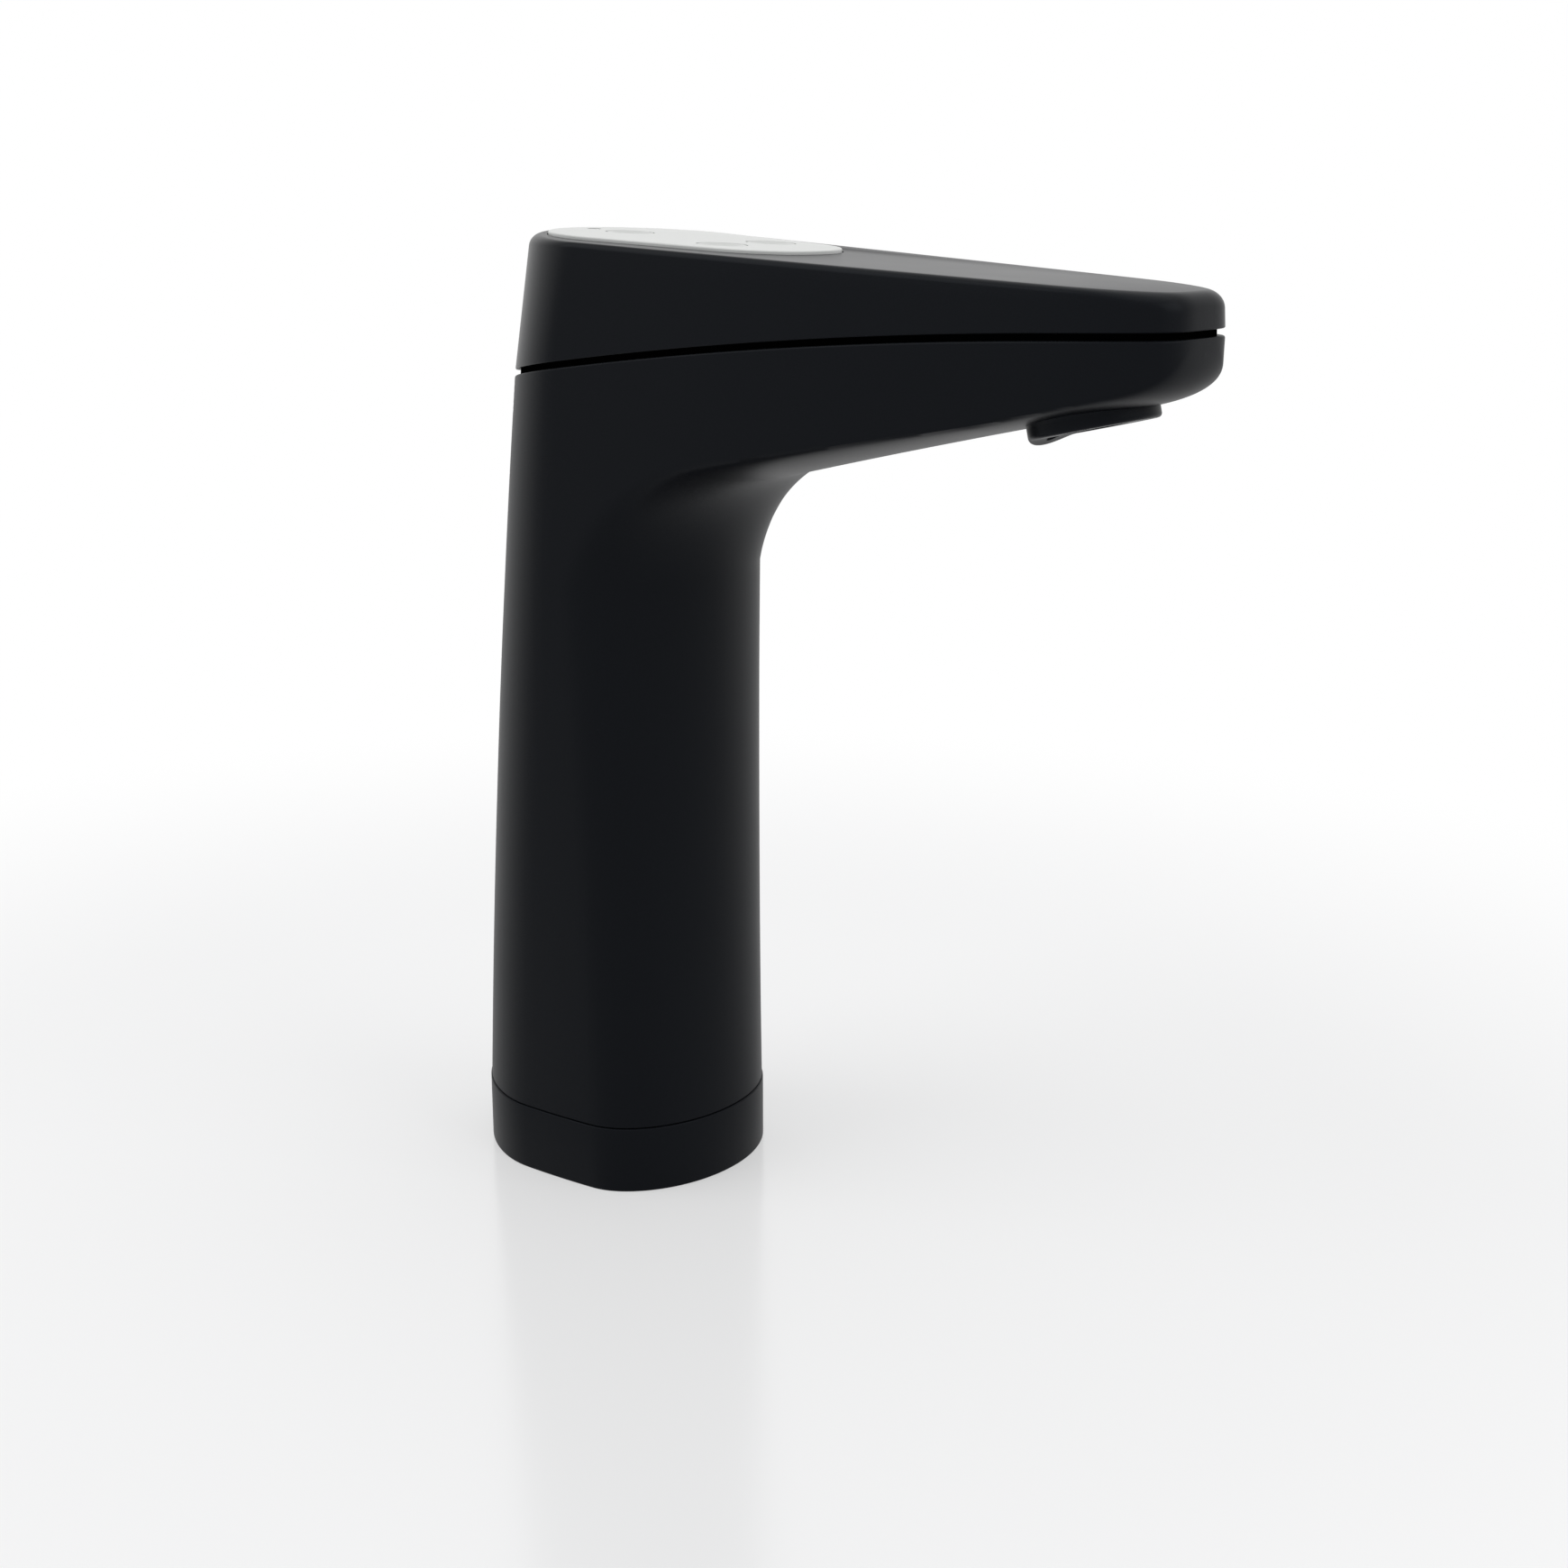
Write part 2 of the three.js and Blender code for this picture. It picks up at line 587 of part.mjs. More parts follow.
// Levels below the top face, along its tilted axis
const panelLow = PANEL_PROUD - PANEL_THICKNESS;
const padHigh = panelLow - GAP;
const padLow = padHigh - PAD_THICKNESS;
const floorHigh = padLow - GAP;
const floorLow = floorHigh - FLOOR_THICKNESS;
const flangeHigh = floorLow - GAP;
const flangeLow = flangeHigh - BUTTON_FLANGE_THICKNESS;
const stemEnd = flangeLow - BUTTON_STEM_LENGTH;
const switchTip = stemEnd - BUTTON_TRAVEL - GAP;
const switchFoot = switchTip - SWITCH_TIP_HEIGHT - SWITCH_BODY_HEIGHT;
const boardHigh = switchFoot - GAP;
const boardLow = boardHigh - BOARD_THICKNESS;

const buttonPlaces = {
  boiling: [FRONT_BUTTON_X, -FRONT_BUTTON_Y],
  chilled: [FRONT_BUTTON_X, FRONT_BUTTON_Y],
  safety: [BACK_BUTTON_X, 0],
};
const tubeRows = { boiling: -TUBE_PITCH, vent: 0, chilled: TUBE_PITCH };
const baseScrews = mirrored(BASE_SCREW_FRONT, BASE_SCREW_BACK);
const frameScrews = mirrored(FRAME_SCREW_BACK, FRAME_SCREW_FRONT);
const coverScrews = mirrored([FRAME_BAR_X, COVER_SCREW_Y]);
const boardScrews = mirrored(BOARD_POST_BACK, BOARD_POST_FRONT);
const blockScrews = mirrored(BLOCK_SCREW_PLACE);

// An upright bore at each place; `span` gives its two ends there
function bores(places, radius, span, sides = ROUND_SIDES) {
  return places.map(([x, y]) => cylinder(radius, ...span(x), x, y, sides));
}

// Screw with a socket head: the shank runs up from z = 0 and the head lies below
function screwShape(radius, length) {
  const head = screwHeadHeight(radius);
  const socket = cylinder(0.9 * radius, -head - 1, -head / 2, 0, 0, 6);
  return join(
    cylinder(radius, -GAP, length, 0, 0, 10),
    cut(cylinder(screwHeadRadius(radius), -head, 0, 0, 0, SMALL_SIDES), socket),
  );
}

// Places the screws of one kind; `seat` gives the height under the head
function screws(name, places, radius, length, { seat, down = false, parent = tap }) {
  places.forEach(([x, y], i) => {
    const screw = node(`${name}_${i + 1}`, screwShape(radius, length), "steel", parent);
    screw.position.set(x, y, seat(x));
    if (down) screw.rotation.x = Math.PI;
  });
}

// ---------------------------------------------------------------- base
const seatInPlate = screwHeadHeight(BASE_SCREW_RADIUS) + 2 * GAP;
const connectorX = CONNECTOR_BACK - BASE_END;

function baseRingShape() {
  const outer = loft([
    baseRing(0, RING_EDGE - RING_PROUD),
    baseRing(RING_EDGE, -RING_PROUD),
    baseRing(RING_HEIGHT - GAP, -RING_PROUD),
    baseRing(RING_HEIGHT, GAP - RING_PROUD),
  ]);
  return cut(outer, basePrism(-1, RING_HEIGHT + 1, RING_WALL));
}

function basePlateShape() {
  const rebate = SEAL_HEIGHT + GAP;
  const beyond = PLATE_THICKNESS + 1;
  const [sizeX, sizeY] = CONNECTOR_SIZE;
  const holes = [box(sizeX + 2 * GAP, sizeY + 2 * GAP, -1, beyond, connectorX, 0)];
  for (const y of Object.values(tubeRows)) {
    holes.push(
      cylinder(SOCKET_RADIUS, -1, SOCKET_DEPTH, TUBE_X, y, SMALL_SIDES),
      cylinder(TUBE_BORE, 0, PLATE_THICKNESS, TUBE_X, y, SMALL_SIDES),
      cylinder(TUBE_RADIUS + GAP, PLATE_THICKNESS - TUBE_SEAT - GAP, beyond, TUBE_X, y, SMALL_SIDES),
    );
  }
  for (const [x, y] of mirrored([STUD_X, STUD_Y])) {
    holes.push(cylinder(STUD_RADIUS, -1, STUD_DEPTH, x, y, SMALL_SIDES));
  }
  for (const [x, y] of baseScrews) {
    holes.push(
      cylinder(BASE_SCREW_RADIUS + GAP, -1, beyond, x, y, SMALL_SIDES),
      cylinder(screwHeadRadius(BASE_SCREW_RADIUS) + GAP, -1, seatInPlate, x, y, SMALL_SIDES),
    );
  }
  const plate = join(
    basePrism(0, rebate, plateInset + SEAL_WIDTH + GAP),
    basePrism(rebate, PLATE_THICKNESS, plateInset),
  );
  return cut(plate, ...holes);
}

function baseSealShape() {
  return cut(
    basePrism(0, SEAL_HEIGHT, plateInset),
    basePrism(-1, SEAL_HEIGHT + 1, plateInset + SEAL_WIDTH),
  );
}

// Socket for the cable: its mouth opens downwards and the cable leaves through the hole above
function cableSocketShape() {
  const [sizeX, sizeY] = CONNECTOR_SIZE;
  const mouthTop = GAP + CONNECTOR_MOUTH;
  return cut(
    box(sizeX, sizeY, GAP, PLATE_THICKNESS, connectorX, 0),
    box(sizeX - 2 * CONNECTOR_WALL, sizeY - 2 * CONNECTOR_WALL, -1, mouthTop, connectorX, 0),
    cylinder(CABLE_RADIUS + GAP, mouthTop - 1, PLATE_THICKNESS + 1, connectorX, 0, SMALL_SIDES),
  );
}

node("base_ring", baseRingShape(), "satinBlack");
node("base_plate", basePlateShape(), "brass");
node("base_seal", baseSealShape(), "rubber");
node("cable_socket", cableSocketShape(), "switchBlack");
screws("base_screw", baseScrews, BASE_SCREW_RADIUS, BASE_SCREW_LENGTH, {
  seat: () => seatInPlate - GAP,
});

// ---------------------------------------------------------------- column casting
// Boss round the outlet, flaring into the arm above, with its foot at `low`
function bossTurned(low) {
  return turned([
    [0, low],
    [BOSS_RADIUS - BOSS_EDGE, low],
    [BOSS_RADIUS - BOSS_EDGE / 3, low + BOSS_EDGE / 3],
    [BOSS_RADIUS, low + BOSS_EDGE],
    [BOSS_RADIUS, BOSS_HEIGHT * 0.3],
    [BOSS_RADIUS + BOSS_FLARE * 0.3, BOSS_HEIGHT * 0.5],
    [BOSS_RADIUS + BOSS_FLARE, BOSS_HEIGHT * 0.7],
    [BOSS_RADIUS, BOSS_HEIGHT],
    [0, BOSS_HEIGHT],
  ], 2 * ROUND_SIDES);
}

// The boss, and the heel that hangs below its face at the back
function bossShape() {
  const slope = Array.from({ length: 7 }, (_, i) => {
    const t = i / 6;
    return new THREE.Vector2(HEEL_LENGTH * (1 - t) - BOSS_RADIUS, -HEEL_DROP * Math.pow(t, HEEL_POWER));
  });
  const wide = 2 * BOSS_RADIUS;
  const inFront = new THREE.Shape([
    new THREE.Vector2(wide, 0),
    ...slope,
    new THREE.Vector2(-BOSS_RADIUS, -wide),
    new THREE.Vector2(wide, -wide),
  ]);
  const geometry = new THREE.ExtrudeGeometry(inFront, { depth: 2 * wide, bevelEnabled: false });
  geometry.rotateX(Math.PI / 2);
  geometry.translate(0, wide, 0);
  const heel = cut(bossTurned(-HEEL_DROP), solid(geometry));
  return moved(join(bossTurned(0), heel), outletFrame.matrix);
}

// Block of a screw lug that runs sideways out to the wall
function lugShape(x, y, low, high) {
  const reach = BASE_LENGTH / 2;
  const inner = Math.abs(y) - LUG_WIDTH / 2;
  return box(LUG_WIDTH, reach, low, high, x, Math.sign(y) * (inner + reach / 2));
}

function columnShape() {
  const outer = bodyOuter();
  const room = outer.intersect(bodyHollow(BODY_WALL / 2));
  const spigot = basePrism(spigotFoot, BODY_FOOT_Z + SPIGOT_FLANGE, plateInset);
  const foot = cut(
    join(basePrism(BODY_FOOT_Z, BODY_FOOT_Z + SPIGOT_FLANGE, BODY_WALL / 2), spigot),
    basePrism(0, 2 * BODY_FOOT_Z, plateInset + SPIGOT_WALL),
  );
  const baseLugs = baseScrews.map(([x, y]) => (
    lugShape(x, y, spigotFoot, spigotFoot + BASE_LUG_HEIGHT).intersect(join(room, spigot))
  ));
  const frameLugs = frameScrews.map(([x, y]) => (
    lugShape(x, y, bodyTop(x) - FRAME_LUG_HEIGHT, bodyTop(x) + 2).intersect(room)
  ));
  const underFace = cylinder(BOSS_RADIUS, -BOSS_HEIGHT, 0, 0, 0, 2 * ROUND_SIDES);
  const casting = join(
    cut(outer, bodyHollow(BODY_WALL), moved(underFace, outletFrame.matrix)),
    foot,
    bossShape(),
    ...baseLugs,
    ...frameLugs,
  );
  const bossTop = BOSS_HEIGHT + 1;
  const blockScrewEnd = BOSS_HEIGHT + BLOCK_SCREW_SEAT - BLOCK_SCREW_LENGTH;
  const outletBores = [
    cylinder(NOZZLE_RADIUS + GAP, -1, bossTop, 0, 0, 2 * ROUND_SIDES),
    cylinder(VENT_NOZZLE_RADIUS + GAP, -HEEL_DROP - 1, bossTop, -VENT_NOZZLE_BACK, 0),
    ...bores(blockScrews, BLOCK_SCREW_RADIUS + GAP, () => [blockScrewEnd, bossTop]),
  ];
  const baseScrewEnd = seatInPlate + BASE_SCREW_LENGTH + 2 * GAP;
  const frameScrewSpan = (x) => [frameHigh(x) - FRAME_SCREW_LENGTH - GAP, frameHigh(x) + 1];
  return cut(
    casting,
    ...bores(baseScrews, BASE_SCREW_RADIUS + GAP, () => [0, baseScrewEnd]),
    ...bores(frameScrews, FRAME_SCREW_RADIUS + GAP, frameScrewSpan),
    ...outletBores.map((bore) => moved(bore, outletFrame.matrix)),
  );
}

node("column_body", columnShape(), "satinBlack");

// ---------------------------------------------------------------- head frame
function headFrameShape() {
  const band = (lowAt, highAt, inset) => (
    loft([headRing(lowAt, inset, INNER_STEPS), headRing(highAt, inset, INNER_STEPS)])
  );
  const plate = band(frameLow, frameHigh, GROOVE_DEPTH);
  const opening = band((x) => frameLow(x) - 1, (x) => frameHigh(x) + 1, FRAME_RIM);
  const lipInset = COVER_WALL + 2 * GAP;
  const lipTop = (x) => frameHigh(x) + FRAME_LIP_HEIGHT;
  const lip = cut(
    band((x) => frameHigh(x) - GAP, lipTop, lipInset),
    band((x) => frameLow(x) - 1, (x) => lipTop(x) + 1, lipInset + FRAME_LIP_WIDTH),
  );
  const barSpan = 2 * (COVER_SCREW_Y + COVER_NUT_HEIGHT);
  const barLow = frameLow(FRAME_BAR_X) - COVER_NUT_HEIGHT;
  const barHigh = frameHigh(FRAME_BAR_X - FRAME_BAR_WIDTH / 2);
  const bar = box(FRAME_BAR_WIDTH, barSpan, barLow, barHigh, FRAME_BAR_X, 0);
  return cut(
    join(cut(plate, opening), lip, bar),
    ...bores(frameScrews, FRAME_SCREW_RADIUS + GAP, (x) => [bodyTop(x) - 1, frameHigh(x) + 1]),
    ...bores(coverScrews, COVER_SCREW_RADIUS + GAP, (x) => [barLow - 1, frameHigh(x) + 1]),
  );
}

node("head_frame", headFrameShape(), "linerBlack");
screws("frame_screw", frameScrews, FRAME_SCREW_RADIUS, FRAME_SCREW_LENGTH, {
  seat: (x) => frameHigh(x) + 2 * GAP,
  down: true,
});

// ---------------------------------------------------------------- head cover
const belowTop = (depth) => (x) => topZ(x) + depth;
const panelPrism = (low, high, inset, steps = OUTLINE_STEPS) => (
  loft([panelRing(belowTop(low), inset, steps), panelRing(belowTop(high), inset, steps)])
);
const onTop = (shape) => moved(shape, topFrame.matrix);
const coverScrewSeat = (x) => topZ(x) + floorHigh - screwHeadHeight(COVER_SCREW_RADIUS) - GAP;

// Rounding of the top edge at a place along the head
function topEdge(x) {
  const back = 1 - smoothstep(x, HEAD_BACK, HEAD_BACK + TOP_EDGE_BACK_REACH);
  const tip = smoothstep(x, HEAD_TIP - TOP_EDGE_TIP_REACH, HEAD_TIP);
  return lerp(TOP_SIDE_EDGE, TOP_END_EDGE, Math.max(back, tip));
}

function headCoverShape() {
  const corner = [0, 1, 2, 3].map((i) => (Math.PI / 6) * i);
  const outer = loft([
    headRing(coverFoot, 0),
    ...corner.map((angle) => headRing(
      (x) => topZ(x) + topEdge(x) * (Math.sin(angle) - 1),
      TOP_END_EDGE * (1 - Math.cos(angle)),
      OUTLINE_STEPS,
      (x) => topEdge(x) * (1 - Math.cos(angle)),
    )),
  ]);
  const inner = loft([
    headRing((x) => grooveZ(x) - 1, COVER_WALL, INNER_STEPS),
    headRing(coverFoot, COVER_WALL, INNER_STEPS),
    headRing(belowTop(-COVER_ROOF), COVER_WALL, INNER_STEPS),
  ]);
  const floor = panelPrism(floorLow, floorHigh, -FLOOR_MARGIN, INNER_STEPS);
  const boardPosts = bores(boardScrews, BOARD_POST_RADIUS, () => [boardHigh + GAP, floorHigh]);
  const coverPosts = bores(coverScrews, COVER_POST_RADIUS, (x) => [
    frameHigh(x + COVER_POST_RADIUS) + GAP,
    topZ(x) + floorHigh - GAP,
  ]);
  const boardBoreTop = boardLow + BOARD_SCREW_LENGTH + GAP;
  const screwHead = screwHeadRadius(COVER_SCREW_RADIUS) + GAP;
  const holes = [
    ...bores(Object.values(buttonPlaces), BUTTON_RADIUS + GAP, () => [floorLow - 1, 1], BUTTON_SIDES),
    ...bores(boardScrews, BOARD_SCREW_RADIUS + GAP, () => [boardHigh, boardBoreTop], SMALL_SIDES),
    ...bores([LENS_PLACE], LENS_RADIUS + GAP, () => [floorLow - 1, 1], SMALL_SIDES),
    ...bores([LENS_PLACE], LENS_RADIUS + LENS_FLANGE + GAP, () => [padLow - GAP, 1], SMALL_SIDES),
  ];
  return cut(
    join(cut(outer, inner), floor, ...boardPosts.map(onTop), ...coverPosts),
    panelPrism(floorHigh, 2 * TOP_END_EDGE, -GAP),
    ...holes.map(onTop),
    ...bores(coverScrews, COVER_SCREW_RADIUS + GAP, (x) => [frameHigh(x) - 1, topZ(x)], SMALL_SIDES),
    ...bores(coverScrews, screwHead, (x) => [coverScrewSeat(x) - GAP, topZ(x)]),
  );
}

node("head_cover", headCoverShape(), "satinBlack");
screws("cover_screw", coverScrews, COVER_SCREW_RADIUS, COVER_SCREW_LENGTH, {
  seat: coverScrewSeat,
  down: true,
});

// ---------------------------------------------------------------- control panel and buttons
function controlPanelShape() {
  const edge = PANEL_THICKNESS / 4;
  const slab = loft([
    panelRing(belowTop(panelLow), 0),
    panelRing(belowTop(PANEL_PROUD - edge), 0),
    panelRing(belowTop(PANEL_PROUD), edge),
  ]);
  const through = () => [2 * panelLow, 2 * PANEL_THICKNESS];
  const holes = [
    ...bores(Object.values(buttonPlaces), BUTTON_RADIUS + GAP, through, BUTTON_SIDES),
    ...bores([LENS_PLACE], LENS_RADIUS + GAP, through, SMALL_SIDES),
  ];
  return cut(slab, ...holes.map(onTop));
}

function panelPadShape() {
  return cut(
    panelPrism(padLow, padHigh, GAP, INNER_STEPS),
    panelPrism(padLow - 1, padHigh + 1, GAP + PAD_WIDTH, INNER_STEPS),
    onTop(cylinder(LENS_RADIUS + LENS_FLANGE + GAP, 2 * padLow, 1, ...LENS_PLACE, SMALL_SIDES)),
  );
}

// Push button with a dished face, a flange that keeps it in, and a stem over its switch
function buttonShape() {
  const face = PANEL_PROUD;
  const dish = [1, 0.75, 0.5, 0.25, 0].map((s) => {
    const radius = (BUTTON_RADIUS - 2 * BUTTON_EDGE) * s;
    return [radius, face - BUTTON_DISH * (1 - s * s) - (s < 1 ? 0 : GAP / 3)];
  });
  return turned([
    [0, stemEnd],
    [BUTTON_STEM_RADIUS, stemEnd],
    [BUTTON_STEM_RADIUS, flangeLow],
    [BUTTON_RADIUS + BUTTON_FLANGE, flangeLow],
    [BUTTON_RADIUS + BUTTON_FLANGE, flangeHigh],
    [BUTTON_RADIUS, flangeHigh],
    [BUTTON_RADIUS, face - BUTTON_EDGE],
    [BUTTON_RADIUS - BUTTON_EDGE, face],
    ...dish,
  ], 20);
}

class Helix extends THREE.Curve {
  constructor(radius, low, high, turns) {
    super();
    Object.assign(this, { radius, low, high, turns });
  }

  getPoint(t, target = new THREE.Vector3()) {
    const angle = 2 * Math.PI * this.turns * t;
    const [x, y] = [this.radius * Math.cos(angle), this.radius * Math.sin(angle)];
    return target.set(x, y, lerp(this.low, this.high, t));
  }
}

// Round bar swept along a curve
function sweptBar(curve, radius, steps, sides) {
  const outline = Array.from({ length: sides }, (_, i) => {
    const angle = (2 * Math.PI * i) / sides;
    return new THREE.Vector2(radius * Math.cos(angle), radius * Math.sin(angle));
  });
  const geometry = new THREE.ExtrudeGeometry(new THREE.Shape(outline), {
    steps,
    extrudePath: curve,
    bevelEnabled: false,
    curveSegments: 1,
  });
  return solid(geometry);
}

function springShape() {
  const low = boardHigh + SPRING_WIRE + GAP;
  const high = flangeLow - SPRING_WIRE - GAP;
  return sweptBar(new Helix(SPRING_RADIUS, low, high, SPRING_TURN_COUNT), SPRING_WIRE, SPRING_STEPS, 5);
}

function switchShape() {
  const bodyHigh = switchFoot + SWITCH_BODY_HEIGHT;
  return join(
    box(SWITCH_SIZE, SWITCH_SIZE, switchFoot, bodyHigh),
    cylinder(SWITCH_TIP_RADIUS, bodyHigh - GAP, switchTip, 0, 0, 12),
  );
}

function lensShape() {
  return turned([
    [0, floorLow],
    [LENS_RADIUS, floorLow],
    [LENS_RADIUS, padLow],
    [LENS_RADIUS + LENS_FLANGE, padLow],
    [LENS_RADIUS + LENS_FLANGE, padHigh],
    [LENS_RADIUS, padHigh],
    [LENS_RADIUS, PANEL_PROUD - GAP / 3],
    [0, PANEL_PROUD],
  ], SMALL_SIDES);
}

node("control_panel", controlPanelShape(), "silver");
node("panel_pad", panelPadShape(), "foam");
for (const [name, [x, y]] of Object.entries(buttonPlaces)) {
  node(`button_${name}`, buttonShape(), "silver", topFrame).position.set(x, y, 0);
  node(`button_spring_${name}`, springShape(), "steel", topFrame).position.set(x, y, 0);
  node(`switch_${name}`, switchShape(), "switchBlack", topFrame).position.set(x, y, 0);
}
node("status_lens", lensShape(), "smokedLens", topFrame).position.set(...LENS_PLACE, 0);

// ---------------------------------------------------------------- switch board and its cable
function boardShape() {
  const middle = (BOARD_BACK + BOARD_FRONT) / 2;
  return cut(
    box(BOARD_FRONT - BOARD_BACK, 2 * BOARD_HALF_WIDTH, boardLow, boardHigh, middle, 0),
    ...bores(boardScrews, BOARD_SCREW_RADIUS + GAP, () => [boardLow - 1, boardHigh + 1], SMALL_SIDES),
  );
}

const plugHigh = topZ(PLUG_X + PLUG_SIZE[0] / 2) + boardLow - 2 * GAP;
const cableEnd = [PLUG_X - PLUG_SIZE[0] / 6, plugHigh - PLUG_SIZE[2] / 2];
const cableCurve = new THREE.CatmullRomCurve3([
  [connectorX, GAP + CONNECTOR_MOUTH + 2],
  [connectorX, PLATE_THICKNESS + CABLE_RISE],
  ...CABLE_BEND.map(([x, z]) => [cableEnd[0] + x, cableEnd[1] + z]),
  cableEnd,
].map(([x, z]) => new THREE.Vector3(x, 0, z)), false, "centripetal");

function plugShape() {
  const [sizeX, sizeY, height] = PLUG_SIZE;
  return cut(
    box(sizeX, sizeY, plugHigh - height, plugHigh, PLUG_X, 0),
    sweptBar(cableCurve, CABLE_RADIUS + GAP, CABLE_STEPS, 8),
  );
}

node("circuit_board", boardShape(), "board", topFrame);
const ledLow = boardHigh + GAP;
node("status_led", box(LED_SIZE, LED_SIZE, ledLow, ledLow + LED_HEIGHT, ...LENS_PLACE), "nylon", topFrame);
screws("board_screw", boardScrews, BOARD_SCREW_RADIUS, BOARD_SCREW_LENGTH, {
  seat: () => boardLow - GAP,
  parent: topFrame,
});
node("cable_plug", plugShape(), "nylon");
node("control_cable", sweptBar(cableCurve, CABLE_RADIUS, CABLE_STEPS, 8), "cable");

// ---------------------------------------------------------------- water tubes
// Place on the middle level of the outlet block, x along its length
function inBlock(x) {
  const middle = BOSS_HEIGHT + GAP + BLOCK_HEIGHT / 2;
  return new THREE.Vector3(x, 0, middle).applyMatrix4(outletFrame.matrix);
}

const waterEnd = inBlock(GAP - CHAMBER[0] / 2);
const ventEnd = inBlock(-VENT_NOZZLE_BACK - VENT_NOZZLE_BORE - GAP);
const ventSeatEnd = inBlock(-VENT_NOZZLE_BACK + VENT_NOZZLE_BORE + GAP);
const alongArm = (x) => waterEnd.z + TUBE_SLOPE * (x - waterEnd.x);
const tubeLean = Math.atan(TUBE_SLOPE);
const bendX = TUBE_X + TUBE_BEND;
const bendEndX = bendX - TUBE_BEND * Math.sin(tubeLean);
const bendZ = alongArm(bendEndX) - TUBE_BEND * Math.cos(tubeLean);
const tubeRuns = {
  boiling: { y: -TUBE_PITCH, endX: waterEnd.x, seatX: waterEnd.x + GAP },
  vent: { y: 0, endX: ventEnd.x, seatX: ventSeatEnd.x },
  chilled: { y: TUBE_PITCH, endX: waterEnd.x, seatX: waterEnd.x + GAP },
};

// Centre line of a tube: upright from the base plate, one bend, then along the arm
function tubeCurve(y, footZ, endX) {
  const corners = [[TUBE_X, footZ], [TUBE_X, bendZ - TUBE_BEND / 2]];
  for (let i = 0; i <= 8; i++) {
    const angle = lerp(Math.PI, Math.PI / 2 + tubeLean, i / 8);
    corners.push([bendX + TUBE_BEND * Math.cos(angle), bendZ + TUBE_BEND * Math.sin(angle)]);
  }
  for (const x of [bendEndX + TUBE_BEND / 2, endX]) corners.push([x, alongArm(x)]);
  const points = corners.map(([x, z]) => new THREE.Vector3(x, y, z));
  return new THREE.CatmullRomCurve3(points, false, "centripetal");
}

const tubeFoot = PLATE_THICKNESS - TUBE_SEAT;

function tubeShape({ y, endX }) {
  return cut(
    sweptBar(tubeCurve(y, tubeFoot, endX), TUBE_RADIUS, TUBE_STEPS, 10),
    sweptBar(tubeCurve(y, tubeFoot - 1, endX + 1), TUBE_BORE, TUBE_STEPS, 6),
  );
}

// Comb that keeps the tubes apart, pushed on from behind
function clipShape() {
  const halfWidth = TUBE_PITCH + TUBE_RADIUS + 3;
  const slots = Object.values(tubeRows).flatMap((y) => [
    cylinder(TUBE_RADIUS + GAP, -1, CLIP_HEIGHT + 1, 0, y),
    box(CLIP_FRONT + 1, 2 * TUBE_RADIUS - GAP, -1, CLIP_HEIGHT + 1, (CLIP_FRONT + 1) / 2, y),
  ]);
  return cut(
    box(CLIP_BACK + CLIP_FRONT, 2 * halfWidth, 0, CLIP_HEIGHT, (CLIP_FRONT - CLIP_BACK) / 2, 0),
    ...slots,
  );
}

for (const [name, run] of Object.entries(tubeRuns)) node(`${name}_tube`, tubeShape(run), "silicone");
CLIP_SHARES.forEach((share, i) => {
  const level = lerp(PLATE_THICKNESS, bendZ, share);
  node(`tube_clip_${i + 1}`, clipShape(), "nylon").position.set(TUBE_X, 0, level);
});

// ---------------------------------------------------------------- outlet
const toOutlet = outletFrame.matrix.clone().invert();
const blockLow = BOSS_HEIGHT + GAP;
const blockHigh = blockLow + BLOCK_HEIGHT;
const nozzleTop = blockLow - 2 * ORING_WIRE - GAP;
const straightenerFoot = NOZZLE_RECESS + STRAIGHTENER_RECESS;
const straightenerTop = straightenerFoot + STRAIGHTENER_THICKNESS;

// Block that gathers the tubes above the nozzle; its chamber opens down into the nozzle
function outletBlockShape() {
  const tubeSeats = Object.values(tubeRuns).map(({ y, seatX }) => (
    moved(sweptBar(tubeCurve(y, tubeFoot, seatX), TUBE_RADIUS + GAP, TUBE_STEPS, 10), toOutlet)
  ));
  const [length, width, height] = CHAMBER;
  const chamberLow = blockLow + (BLOCK_HEIGHT - height) / 2;
  const blockMiddle = (BLOCK_FRONT - BLOCK_BACK) / 2;
  const ventTop = blockLow + BLOCK_HEIGHT / 2;
  const screwHead = screwHeadRadius(BLOCK_SCREW_RADIUS) + GAP;
  return cut(
    box(BLOCK_BACK + BLOCK_FRONT, 2 * BLOCK_HALF_WIDTH, blockLow, blockHigh, blockMiddle, 0),
    ...tubeSeats,
    box(length, width, chamberLow, chamberLow + height, 0, 0),
    cylinder(NOZZLE_THROAT, blockLow - 1, chamberLow + height / 2, 0, 0),
    cylinder(VENT_NOZZLE_BORE, blockLow - 1, ventTop, -VENT_NOZZLE_BACK, 0, SMALL_SIDES),
    ...bores(blockScrews, BLOCK_SCREW_RADIUS + GAP, () => [blockLow - 1, blockHigh + 1], SMALL_SIDES),
    ...bores(blockScrews, screwHead, () => [blockLow + BLOCK_SCREW_SEAT, blockHigh + 1]),
  );
}

